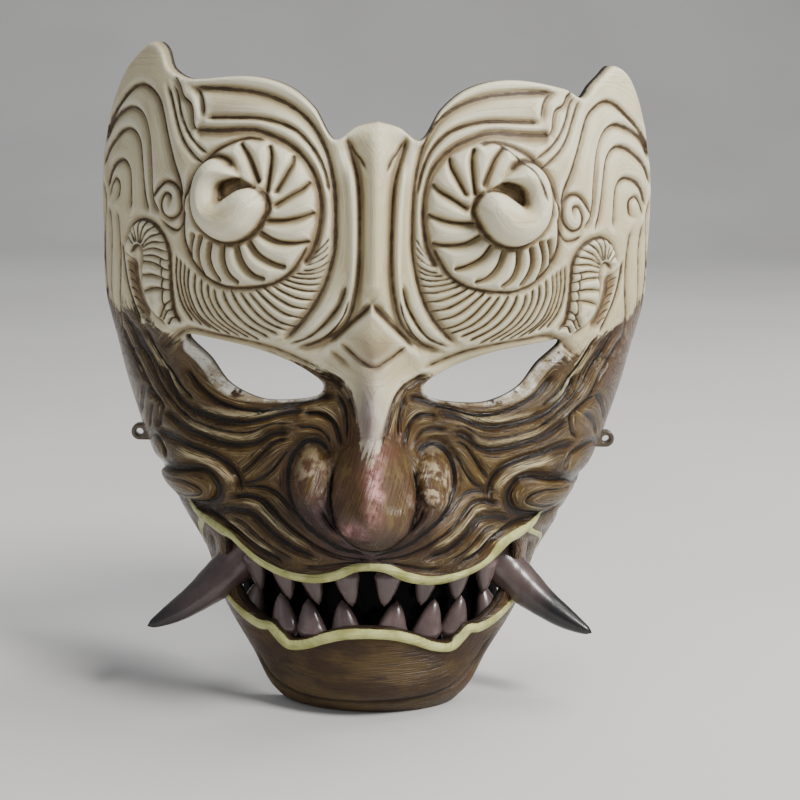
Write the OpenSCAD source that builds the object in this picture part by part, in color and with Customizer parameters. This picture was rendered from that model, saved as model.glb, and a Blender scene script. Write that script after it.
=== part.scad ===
// Full-face ogre mask: a thin curved shell with set teeth, two tusks, strap lugs and glued pads.
// The face looks along -Y, +Z is up, +X is the viewer's right, and the origin is the
// centre of the rear rim, where the wearer's head or a wall holds it.

/* [Mask] */
// Thickness of the cast shell
shell_t = 4; // [3:0.5:5]
// Half width of the shell at the temples
temple_w = 103; // [95:1:110]
// Depth of the shell at the brow, from the rear rim to the front
brow_d = 80; // [74:1:86]
// How far the nose stands out of the face
nose_h = 27; // [14:1:30]
// How far each brow dome stands out of the forehead
brow_h = 9; // [4:1:12]

/* [Eyes] */
// Spread of the eye holes, as a factor of the standard one
eye_spread = 1; // [0.95:0.01:1.03]

/* [Teeth] */
// Radius of the arch that the teeth stand on
arch_r = 53; // [51:0.5:55]
// Length of a front tooth from its root to its tip
tooth_l = 15; // [11:0.5:16]
// Radius of a tooth's round tenon and of its socket
tenon_r = 1.5; // [1:0.1:2]
// Length of a tusk along its curve
tusk_l = 47; // [38:1:50]
// Radius of a tusk at its root
tusk_r = 8; // [5:0.1:8.4]

/* [Straps] */
// Radius of the hole in each strap lug
strap_hole_r = 1.4; // [1:0.1:1.8]

/* [Pads] */
// Thickness of the foam pads
pad_t = 10; // [6:1:12]

/* [Hidden] */
UPPER = [for (i = [1:8]) str("upper_tooth_", i)];
LOWER = [for (i = [1:8]) str("lower_tooth_", i)];

ivory = [0.88, 0.85, 0.76];
umber = [0.36, 0.27, 0.18];
horn_grey = [0.45, 0.35, 0.33];
gum_black = [0.05, 0.05, 0.06];
felt_grey = [0.30, 0.28, 0.27];

// The shell is a stack of level sections. Each runs from one rear edge round the front to
// the other, and turns by rim_turn degrees on each side of the middle.
rim_turn = 80;
columns = 44;
rows = 36;
// Height and half width of the sections, chin to ear tip
half_width = [[-113, 30], [-108, 35.5], [-98, 42], [-82, 54], [-68, 62], [-50, 76], [-30, 87],
              [-10, 94], [6, 98], [25, temple_w - 0.5], [45, temple_w], [66, temple_w],
              [88, temple_w - 2], [106, temple_w - 6], [117, temple_w - 11]];
// Height and front depth of the sections
front_depth = [[-113, 75], [-103, 81], [-85, 84], [-60, 85], [-30, 83], [5, brow_d - 1],
               [40, brow_d], [70, brow_d - 3], [95, brow_d - 10], [117, brow_d - 20]];
// Height and set-back of the sections' rear edges: flat to the jaw, then forward to the chin
rim_setback = [[-113, 62], [-98, 54], [-82, 42], [-66, 22], [-50, 6], [-38, 0], [117, 0]];
// Turn from the middle and height of the shell's top edge, with a broad ear on each side
top_edge = [[0, 90], [0.05, 88], [0.1, 84], [0.15, 94], [0.22, 101], [0.32, 104], [0.5, 103],
            [0.59, 106.5], [0.65, 112.5], [0.7, 115.3], [0.745, 116], [0.79, 113], [0.85, 106],
            [0.9, 95], [0.94, 86], [1, 72]];
chin_z = -113;

// Raised and sunk forms: distance from the middle, height, reach in X, reach in Z, height
forms = [[49, 60, 34, 38, brow_h],
         [0, -12, 8, 22, nose_h * 0.4],
         [0, -36, 14, 15, nose_h * 0.85],
         [18, -34, 8, 9, nose_h * 0.35],
         [0, 48, 8, 40, 4],
         [42, 6, 28, 10, -7],
         [66, -32, 17, 12, 7],
         [26, -50, 26, 12, 5],
         [0, -104, 32, 10, 4]];

// Left eye hole, seen from the front
eye_points = [[-66, 16], [-45, 14], [-31, 10], [-22, 6], [-17, 2], [-20, -2], [-31, -4],
              [-41, -4], [-52, 0], [-59, 8]];
// Right half of the mouth, from the middle of the upper lip to the middle of the lower
mouth_half = [[0, -59], [12, -62], [22, -64], [32, -61], [42, -55], [48, -53], [51, -58],
              [50, -68], [42, -76], [36, -77], [27, -85], [15, -82], [0, -81]];

// Mouth plate and teeth stand on one arch, seen from above
arch_y = -24;
plate_t = 4;
plate_r = arch_r - 4;
plate_turn = 66;
plate_top = -57;
plate_bottom = -91;
upper_turns = [-50, -35, -23, -8, 8, 23, 35, 50];
lower_turns = [-51, -31, -20, -7, 7, 20, 31, 51];
upper_root_z = -60;
lower_root_z = -88;
tooth_r = 3.9;
tooth_bend = 16;
molar_shorter = 3;
// Horns: radius of the blunt tip, and how the radius falls off along the length
tip_r = 0.5;
taper = 0.65;
teeth_room_t = 9.5;
// Tenons: how deep their sockets and how far from the root of the tooth
plate_reach = arch_r - plate_r + plate_t - 0.5;
socket_depth = 12;
tenon_from_root = 4;
tusk_turn = 62;
tusk_tenon_r = 3;
tusk_root = [49, -62];
tusk_bend = 30;
tusk_drop = 47;
tusk_rings = 14;
tusk_sides = 16;
tusk_tenon_start = 3;
seat_gap = 0.1;
fit_gap = 0.3;

// Strap lugs: tabs set in notches of the rear rim, with the hole clear of the shell's wall
lug_z = -30;
lug_x = 89.5;
lug_r = 3.2;
lug_t = 4;
lug_root = 8;

forehead_front = -63;
forehead_r = 105;
forehead_turn = 22;
forehead_z = 60;
forehead_h = 22;
cheek_at = [58, -42, -34];
cheek_turn = 42;
cheek_r = 13;
cheek_rise = 6;

// Value of a table of [key, value] rows at x, as one smooth curve
function row_at(table, x, i = 0) =
    i >= len(table) - 2 || x < table[i + 1][0] ? i : row_at(table, x, i + 1);
function slope(table, i) =
    let (a = max(i - 1, 0), b = min(i + 1, len(table) - 1))
    (table[b][1] - table[a][1]) / (table[b][0] - table[a][0]);
function smooth(table, x) =
    let (i = row_at(table, x), span = table[i + 1][0] - table[i][0],
         u = min(max((x - table[i][0]) / span, 0), 1), v = 1 - u)
    table[i][1] * v * v * (1 + 2 * u) + table[i + 1][1] * u * u * (3 - 2 * u)
    + span * u * v * (slope(table, i) * v - slope(table, i + 1) * u);

// Closed smooth outline through the points
function rounded(points, steps = 5) =
    let (n = len(points))
    [for (i = [0:n - 1], s = [0:steps - 1])
        let (u = s / steps, p = points[(i + n - 1) % n], q = points[i],
             r = points[(i + 1) % n], w = points[(i + 2) % n])
        (2 * q + (r - p) * u + (2 * p - 5 * q + 4 * r - w) * u * u
         + (3 * q - p - 3 * r + w) * u * u * u) / 2];

// How much of the forms shows on the inside, and how the columns crowd to the middle
inner_lift = 0.93;
crowding = 1.2;

// How far the forms raise the face at a place
function relief(x, z) =
    let (lift = [for (f = forms)
        f[4] * exp(-pow((abs(x) - f[0]) / f[2], 2) - pow((z - f[1]) / f[3], 2))])
    lift * [for (f = forms) 1];

// Point of the shell at a turn from -1 to 1 and a height, inset by so much. The forms fade
// out towards the rear rim, which stays flat.
function shell_point(turn, z, inset) =
    let (a = turn * rim_turn, w = smooth(half_width, z) - inset,
         set = max(smooth(rim_setback, z), 0), d = smooth(front_depth, z) - inset - set,
         forward = (cos(a) - cos(rim_turn)) / (1 - cos(rim_turn)),
         x = w * sin(a) / sin(rim_turn), y = -set - d * forward,
         out = [d * sin(a), -w * cos(a)],
         lift = relief(x, z) * sqrt(max(forward, 0)) * (inset > 0 ? inner_lift : 1))
    [x + lift * out[0] / norm(out), y + lift * out[1] / norm(out), z];

module shell_body() {
    skin = [for (inset = [0, shell_t], j = [0:rows], i = [0:columns])
        let (side = 2 * i / columns - 1, turn = sign(side) * pow(abs(side), crowding),
             top = smooth(top_edge, abs(turn)), z = chin_z + (top - chin_z) * j / rows)
        shell_point(turn, z, inset)];
    across = columns + 1;
    layer = across * (rows + 1);
    outside = [for (j = [0:rows - 1], i = [0:columns - 1])
        let (a = j * across + i) each [[a, a + across, a + 1], [a + 1, a + across, a + across + 1]]];
    inside = [for (f = outside) [f[0] + layer, f[2] + layer, f[1] + layer]];
    border = concat([for (i = [0:columns]) i],
                    [for (j = [1:rows]) j * across + columns],
                    [for (i = [1:columns]) rows * across + columns - i],
                    [for (j = [1:rows - 1]) (rows - j) * across]);
    n = len(border);
    rim = [for (k = [0:n - 1]) let (a = border[k], b = border[(k + 1) % n])
        each [[a, b, b + layer], [a, b + layer, a + layer]]];
    polyhedron(skin, concat(outside, inside, rim));
}

module eye_hole() {
    front = brow_d + nose_h;
    translate([0, 1, 0]) rotate([90, 0, 0]) linear_extrude(front)
        polygon([for (p = rounded(eye_points)) [p[0] * eye_spread, p[1]]]);
}

module mouth_hole() {
    n = len(mouth_half);
    outline = concat(mouth_half, [for (i = [n - 2:-1:1]) [-mouth_half[i][0], mouth_half[i][1]]]);
    front = brow_d + nose_h;
    translate([0, -30, 0]) rotate([90, 0, 0]) linear_extrude(front) polygon(rounded(outline));
}

// Curved tapering horn from the origin along +X, bending towards +Z
module horn(length, root_r, tip_r, bend, rings = 10, sides = 14) {
    turn_r = length / (bend * PI / 180);
    ring = [for (j = [0:rings], i = [0:sides - 1])
        let (u = j / rings, a = u * bend, s = i * 360 / sides,
             r = tip_r + (root_r - tip_r) * pow(1 - u, taper),
             side = r * cos(s), rise = r * sin(s))
        [(turn_r - rise) * sin(a), side, turn_r - (turn_r - rise) * cos(a)]];
    walls = [for (j = [0:rings - 1], i = [0:sides - 1])
        let (a = j * sides + i, b = j * sides + (i + 1) % sides)
        each [[b, a, b + sides], [b + sides, a, a + sides]]];
    root_cap = [[for (i = [0:sides - 1]) i]];
    tip_cap = [[for (i = [sides - 1:-1:0]) rings * sides + i]];
    polyhedron(ring, concat(walls, root_cap, tip_cap));
}

// Places what is drawn along +X on the arch, at a turn from the middle and a distance out
module on_arch(turn, r, z) {
    translate([0, arch_y, z]) rotate([0, 0, turn - 90]) translate([r, 0, 0]) children();
}

module plate_body(gap = 0) {
    translate([0, arch_y, plate_bottom - gap]) rotate([0, 0, -90 - plate_turn])
        rotate_extrude(angle = 2 * plate_turn)
            translate([plate_r - plate_t - gap, 0])
                square([plate_t + 2 * gap, plate_top - plate_bottom + 2 * gap]);
}

module tusk_horn(side, gap = 0) {
    on_arch(side * tusk_turn, tusk_root[0], tusk_root[1]) rotate([0, tusk_drop, 0])
        translate([-gap, 0, 0])
            horn(tusk_l, tusk_r + gap, tip_r + gap, tusk_bend, tusk_rings, tusk_sides);
}

// Clear space behind the lips for the row of teeth
module teeth_room() {
    translate([0, arch_y, plate_bottom]) rotate([0, 0, -90 - plate_turn])
        rotate_extrude(angle = 2 * plate_turn)
            translate([plate_r - 1, 0]) square([teeth_room_t, plate_top - plate_bottom]);
}

module lug_root_block(side) {
    translate([side * (lug_x - lug_root / 2), -lug_t / 2, lug_z])
        cube([lug_root, lug_t, 2 * lug_r], center = true);
}

module mask_shell() {
    color(ivory) difference() {
        // A zero resize changes nothing: it keeps the free-form body as one faceted solid, so
        // that the notches of the strap lugs are cut from it as true planes
        resize([0, 0, 0]) difference() {
            shell_body();
            eye_hole();
            mirror([1, 0, 0]) eye_hole();
            mouth_hole();
            plate_body(fit_gap);
            teeth_room();
            tusk_horn(-1, fit_gap);
            tusk_horn(1, fit_gap);
        }
        lug_root_block(-1);
        lug_root_block(1);
    }
}

// Tab glued in the rim's notch, with a drilled eye for the cord
module strap_lug(side) {
    color(ivory) difference() {
        union() {
            lug_root_block(side);
            translate([side * lug_x, 0, lug_z]) rotate([90, 0, 0])
                cylinder(r = lug_r, h = lug_t, $fn = 48);
        }
        translate([side * lug_x, 1, lug_z]) rotate([90, 0, 0])
            cylinder(r = strap_hole_r, h = lug_t + 2, $fn = 48);
    }
}

module tenon(r, length) {
    rotate([0, -90, 0]) cylinder(r = r, h = length, $fn = 32);
}

module mouth_plate() {
    color(gum_black) difference() {
        plate_body();
        for (turn = upper_turns) on_arch(turn, plate_r + 1, upper_root_z - tenon_from_root)
            tenon(tenon_r, socket_depth);
        for (turn = lower_turns) on_arch(turn, plate_r + 1, lower_root_z + tenon_from_root)
            tenon(tenon_r, socket_depth);
        for (side = [-1, 1]) on_arch(side * tusk_turn, plate_r + 1, tusk_root[1])
            tenon(tusk_tenon_r, socket_depth);
    }
}

// Tooth on the arch: up is 1 for a lower tooth and -1 for an upper one
module tooth(turn, root_z, up, length, root_r) {
    color(horn_grey) union() {
        on_arch(turn, arch_r, root_z) rotate([0, -90 * up, 0])
            horn(length, root_r, tip_r, tooth_bend);
        on_arch(turn, arch_r, root_z + tenon_from_root * up) tenon(tenon_r, plate_reach);
    }
}

module upper_tooth(i) {
    tooth(upper_turns[i], upper_root_z, -1, tooth_l, tooth_r);
}

module lower_tooth(i) {
    molar = i == 0 || i == len(lower_turns) - 1;
    tooth(lower_turns[i], lower_root_z, 1, molar ? tooth_l - molar_shorter : tooth_l, tooth_r);
}

// The tusk's root is hollowed to seat on the front of the mouth plate
module tusk(side) {
    color(horn_grey) union() {
        difference() {
            tusk_horn(side);
            translate([0, arch_y, plate_bottom])
                cylinder(r = plate_r + seat_gap, h = plate_top - plate_bottom + tusk_r, $fn = 96);
        }
        on_arch(side * tusk_turn, plate_r + tusk_tenon_start, tusk_root[1])
            tenon(tusk_tenon_r, plate_t + tusk_tenon_start - 0.5);
    }
}

// Foam pad that follows the inside of the forehead
module forehead_pad() {
    color(felt_grey) translate([0, forehead_front + forehead_r, forehead_z])
        rotate([0, 0, -90 - forehead_turn]) rotate_extrude(angle = 2 * forehead_turn)
            translate([forehead_r - pad_t, 0]) square([pad_t, forehead_h]);
}

// Rounded foam pad behind a cheek
module cheek_pad(side) {
    color(felt_grey) translate([side * cheek_at[0], cheek_at[1], cheek_at[2]])
        rotate([0, 0, side * cheek_turn]) rotate([-90, 0, 0]) hull()
            for (rise = [-cheek_rise, cheek_rise]) translate([0, rise, 0])
                cylinder(r = cheek_r, h = pad_t - 2, $fn = 32);
}

mask_shell();
mouth_plate();
tusk(-1);  // tusk_left
tusk(1);  // tusk_right
for (i = [0:7]) upper_tooth(i);
for (i = [0:7]) lower_tooth(i);
strap_lug(-1);  // strap_lug_left
strap_lug(1);  // strap_lug_right
forehead_pad();
cheek_pad(-1);  // cheek_pad_left
cheek_pad(1);  // cheek_pad_right
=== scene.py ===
"""A demon mask with a carved ivory brow, brown cheeks, tusks and teeth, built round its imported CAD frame."""
import math

import bpy
import numpy as np
from mathutils import Matrix, Vector


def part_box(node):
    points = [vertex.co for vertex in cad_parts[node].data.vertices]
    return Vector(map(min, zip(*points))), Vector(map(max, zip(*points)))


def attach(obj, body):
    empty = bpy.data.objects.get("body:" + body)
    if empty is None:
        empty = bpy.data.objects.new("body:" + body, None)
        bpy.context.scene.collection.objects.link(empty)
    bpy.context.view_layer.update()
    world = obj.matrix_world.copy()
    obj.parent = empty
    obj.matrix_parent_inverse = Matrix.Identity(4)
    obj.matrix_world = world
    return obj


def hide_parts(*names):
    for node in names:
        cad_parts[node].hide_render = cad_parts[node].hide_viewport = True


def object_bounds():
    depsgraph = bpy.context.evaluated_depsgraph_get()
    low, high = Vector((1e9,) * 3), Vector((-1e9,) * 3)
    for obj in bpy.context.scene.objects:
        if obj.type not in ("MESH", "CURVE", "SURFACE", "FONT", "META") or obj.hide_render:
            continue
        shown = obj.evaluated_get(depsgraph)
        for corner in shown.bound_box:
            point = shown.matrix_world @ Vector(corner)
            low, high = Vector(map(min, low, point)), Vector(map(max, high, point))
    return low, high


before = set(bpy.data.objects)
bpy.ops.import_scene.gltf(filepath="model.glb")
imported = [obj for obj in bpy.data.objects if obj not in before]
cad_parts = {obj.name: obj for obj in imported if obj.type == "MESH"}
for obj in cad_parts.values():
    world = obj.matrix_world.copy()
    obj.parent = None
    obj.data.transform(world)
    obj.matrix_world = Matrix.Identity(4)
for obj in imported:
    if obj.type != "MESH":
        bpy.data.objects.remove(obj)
cad_low, cad_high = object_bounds()
MM = 0.001

# ---- the shell's form, in millimetres, as the CAD shell has it, with a finer top edge and mouth ----
RIM_TURN = math.radians(80)
SHELL_T = 4.0
CHIN_Z = cad_low.z / MM
HALF_WIDTH = [(-113, 30), (-108, 35.5), (-98, 42), (-82, 54), (-68, 62), (-50, 76), (-30, 87),
              (-10, 94), (6, 98), (25, 102.5), (45, 103), (66, 103), (88, 101), (106, 97), (117, 92)]
FRONT_DEPTH = [(-113, 75), (-103, 81), (-85, 84), (-60, 85), (-30, 83), (5, 79),
               (40, 80), (70, 77), (95, 70), (117, 60)]
RIM_SETBACK = [(-113, 62), (-98, 54), (-82, 42), (-66, 22), (-50, 6), (-38, 0), (117, 0)]
TOP_LEFT = [(0, 90), (0.05, 88), (0.1, 84), (0.15, 94), (0.22, 101), (0.32, 104), (0.5, 103),
            (0.59, 106.5), (0.65, 112.5), (0.7, 115.3), (0.745, 116), (0.79, 113), (0.85, 106),
            (0.9, 95), (0.94, 86), (1, 72)]
TOP_RIGHT = [(0, 90), (0.05, 88), (0.1, 84), (0.15, 94), (0.22, 101), (0.32, 104), (0.49, 101.5),
             (0.55, 98.5), (0.61, 103), (0.67, 106.5), (0.73, 109.5), (0.76, 110), (0.8, 109),
             (0.84, 106), (0.87, 100), (0.9, 90), (0.95, 76), (1, 66)]
FORMS = [(49, 60, 34, 38, 9), (0, -12, 8, 22, 10.2), (0, -36, 14, 15, 16.2), (18, -34, 8, 9, 7.4),
         (0, 48, 8, 40, 4), (42, 6, 28, 10, -7), (66, -32, 17, 12, 7), (26, -50, 26, 12, 5),
         (0, -104, 32, 10, 4)]
EYE = [(-66, 16), (-45, 14), (-31, 10), (-22, 6), (-17, 2), (-20, -2), (-31, -4), (-41, -4),
       (-52, 0), (-59, 8)]
MOUTH_HALF = [(0, -58.7), (4, -59.2), (9, -62), (15, -64), (22, -65), (29, -64.5), (35, -63),
              (40, -61), (44.5, -57.5), (49, -54.5), (51.5, -56), (52, -62), (50.5, -70), (47, -77),
              (42, -80.5), (37.5, -82), (34, -81.5), (31.5, -83.5), (28, -86.8), (22, -85.5),
              (15, -82.5), (8, -80.5), (0, -80)]
TOP_MAX = 116

# ---- the sculpted skin ----
COLUMNS, ROWS = 660, 520
# rough size of a grid cell, over a skin about 280 mm round and 215 mm high
CELL_X, CELL_Z = 280.0 / COLUMNS, 215.0 / ROWS
EDGE_ROUND = 1.6
# cuts deeper than the limit level out, and go no further than the ease beyond it
CUT_LIMIT, CUT_EASE = 1.5, 0.9
EYE_BEVEL, EYE_DROP = 5.4, 3.4
MOUTH_BEVEL, MOUTH_DROP = 1.6, 1.0
# distance that stands for no stroke near
FAR = 99.0
# the holes' edges pull the grid round them along, less at each step away
EASE_ROUNDS, EASE_SHARE = 12, 0.8


def smooth(table, x):
    """Value of a table of (key, value) rows at x, as one smooth curve."""
    keys, values = np.array(table, float).T
    slopes = np.gradient(values)
    slopes[1:-1] = (values[2:] - values[:-2]) / (keys[2:] - keys[:-2])
    slopes[0] = (values[1] - values[0]) / (keys[1] - keys[0])
    slopes[-1] = (values[-1] - values[-2]) / (keys[-1] - keys[-2])
    i = np.clip(np.searchsorted(keys, x, side="right") - 1, 0, len(keys) - 2)
    span = keys[i + 1] - keys[i]
    u = np.clip((x - keys[i]) / span, 0, 1)
    v = 1 - u
    bend = span * u * v * (slopes[i] * v - slopes[i + 1] * u)
    return values[i] * v * v * (1 + 2 * u) + values[i + 1] * u * u * (3 - 2 * u) + bend


def fade(low, high, x):
    """0 below low, 1 above high, smooth between."""
    u = np.clip((x - low) / (high - low), 0, 1)
    return u * u * (3 - 2 * u)


def spline(points, steps=6, closed=False):
    """Smooth line through the points."""
    p = np.array(points, float)
    n = len(p)
    at = [np.roll(p, k, 0) for k in (1, 0, -1, -2)]
    if not closed:
        at[0][0] = 2 * p[0] - p[1]
        at[3][n - 2] = 2 * p[-1] - p[-2]
    u = np.arange(steps)[:, None, None] / steps
    q = [a[None, :n if closed else n - 1] for a in at]
    line = (2 * q[1] + (q[2] - q[0]) * u + (2 * q[0] - 5 * q[1] + 4 * q[2] - q[3]) * u ** 2
            + (3 * q[1] - q[0] - 3 * q[2] + q[3]) * u ** 3) / 2
    line = line.transpose(1, 0, 2).reshape(-1, p.shape[1])
    return np.vstack([line, line[:1] if closed else p[-1:]])


def along(path, t):
    """Points at shares t of the path's length."""
    path = np.asarray(path, float)
    run = np.r_[0, np.cumsum(np.hypot(*np.diff(path, axis=0).T))]
    t = np.atleast_1d(t) * run[-1]
    return np.stack([np.interp(t, run, path[:, k]) for k in (0, 1)], -1)


def between(guides, k):
    """A stroke between the guide strokes: k counts guides, and its fraction blends two of them."""
    i = min(int(k), len(guides) - 2)
    a, b = np.array(guides[i], float), np.array(guides[i + 1], float)
    return a + (b - a) * (k - i)


def shell_relief(x, z):
    """Height of the large forms over the skin: brows, nose, cheeks, lip and chin."""
    total = 0
    for cx, cz, rx, rz, height in FORMS:
        total = total + height * np.exp(-((abs(x) - cx) / rx) ** 2 - ((z - cz) / rz) ** 2)
    return total


def shell_point(turn, z, inset=0.0):
    """Point of the shell's skin and the way out of it, seen from above, at a turn and a height."""
    a = turn * RIM_TURN
    w = smooth(HALF_WIDTH, z) - inset
    back = np.maximum(smooth(RIM_SETBACK, z), 0)
    d = smooth(FRONT_DEPTH, z) - inset - back
    forward = (np.cos(a) - math.cos(RIM_TURN)) / (1 - math.cos(RIM_TURN))
    x = w * np.sin(a) / math.sin(RIM_TURN)
    y = -back - d * forward
    out = np.stack([d * np.sin(a), -w * np.cos(a)], -1)
    out /= np.hypot(out[..., 0], out[..., 1])[..., None]
    lift = shell_relief(x, z) * np.sqrt(np.maximum(forward, 0)) * (0.93 if inset else 1)
    return x + lift * out[..., 0], y + lift * out[..., 1], out


def nearest(path, points):
    """Distance from the points to a path, where along it, the side it lies on and the nearest point."""
    a = path[:-1]
    step = path[1:] - a
    size = np.maximum((step ** 2).sum(1), 1e-9)
    off = points[:, None] - a
    t = np.clip((off * step).sum(2) / size, 0, 1)
    gap = off - t[..., None] * step
    square = (gap ** 2).sum(2)
    k = square.argmin(1)
    rows = np.arange(len(points))
    lengths = np.sqrt(size)
    run = np.r_[0, np.cumsum(lengths)]
    share = (run[k] + t[rows, k] * lengths[k]) / run[-1]
    side = np.sign(step[k, 0] * off[rows, k, 1] - step[k, 1] * off[rows, k, 0])
    spot = a[k] + t[rows, k][:, None] * step[k]
    return np.sqrt(square[rows, k]), share, side, spot


def inside(outline, points):
    """Whether each point lies inside a closed outline."""
    a, b = outline[:-1], outline[1:]
    x, y = points[:, :1], points[:, 1:]
    crosses = (a[:, 1] > y) != (b[:, 1] > y)
    rise = np.where(b[:, 1] == a[:, 1], 1e-9, b[:, 1] - a[:, 1])
    at = a[:, 0] + (y - a[:, 1]) * (b[:, 0] - a[:, 0]) / rise
    return (crosses & (x < at)).sum(1) % 2 == 1


def holes():
    """Outlines of the eyes and the mouth, seen from the front."""
    left = spline(EYE, 8, True)
    mouth = MOUTH_HALF + [(-x, z) for x, z in MOUTH_HALF[-2:0:-1]]
    return {"eye_left": left, "eye_right": left * (-1, 1), "mouth": spline(mouth, 6, True)}


# ---- the grid that the face is sculpted on, with its holes ----
def top_line(turn):
    """Height of the top edge. The right ear stands lower than the left."""
    left, right = smooth(TOP_LEFT, abs(turn)), smooth(TOP_RIGHT, abs(turn))
    return np.minimum(left + (right - left) * fade(0.3, 0.45, turn), TOP_MAX)


def plain_grid(columns, rows):
    """Grid of (turn, z) without holes, a little denser at the middle of the face."""
    side = np.linspace(-1, 1, columns + 1)
    turn = np.sign(side) * abs(side) ** 1.2
    turn = np.tile(turn, (rows + 1, 1))
    share = np.linspace(0, 1, rows + 1)[:, None]
    return turn, CHIN_Z + (top_line(turn) - CHIN_Z) * share


def onto(outline, turn, z):
    """Moves grid places to the nearest point of an outline."""
    nudge = 1e-3
    for _ in range(4):
        x = shell_point(turn, z)[0]
        rate = (shell_point(turn + nudge, z)[0] - x) / nudge
        spot = nearest(outline, np.stack([x, z], -1))[3]
        turn = turn + (spot[:, 0] - x) / rate
        z = spot[:, 1]
    return turn, z


def holed_grid():
    """Fine grid of (turn, z), which coarse cells are kept, and the fine places on the holes' edges."""
    turn, z = plain_grid(COLUMNS // 2, ROWS // 2)
    x = shell_point(turn, z)[0]
    centre = [(g[:-1, :-1] + g[1:, :-1] + g[:-1, 1:] + g[1:, 1:]) / 4 for g in (x, z)]
    flat = np.stack([g.ravel() for g in centre], -1)
    kept = np.ones(centre[0].shape, bool)
    moved = np.zeros(turn.shape, bool)
    shift = np.zeros(turn.shape + (2,))
    outlines = holes()
    for outline in outlines.values():
        gone = inside(outline, flat).reshape(kept.shape)
        kept &= ~gone
        around = np.zeros((2,) + turn.shape, bool)
        for j in (0, 1):
            for i in (0, 1):
                part = (slice(j, j + gone.shape[0]), slice(i, i + gone.shape[1]))
                around[0][part] |= gone
                around[1][part] |= ~gone
        edge = around[0] & around[1]
        t, h = onto(outline, turn[edge], z[edge])
        shift[edge] = np.stack([t - turn[edge], h - z[edge]], -1)
        moved |= edge
    eased = shift.copy()
    for _ in range(EASE_ROUNDS):
        spread = sum(np.roll(eased, s, a) for s in (1, -1) for a in (0, 1)) / 4 * EASE_SHARE
        eased = np.where(moved[..., None], shift, spread)
        eased[0] = eased[-1] = 0
        eased[:, 0] = eased[:, -1] = 0
    coarse = np.stack([turn, z], -1) + eased
    fine = np.zeros((ROWS + 1, COLUMNS + 1, 2))
    fine[..., 0], fine[..., 1] = plain_grid(COLUMNS, ROWS)
    extra = np.zeros_like(fine)
    extra[::2, ::2] = eased
    extra[1::2, ::2] = (eased[:-1] + eased[1:]) / 2
    extra[:, 1::2] = (extra[:, :-1:2] + extra[:, 2::2]) / 2
    fine += extra
    return fine, coarse, kept, outlines


fine, coarse, kept, outlines = holed_grid()
turn, height_z = fine[..., 0], fine[..., 1]
base_x, base_y, base_out = shell_point(turn, height_z)


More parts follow.
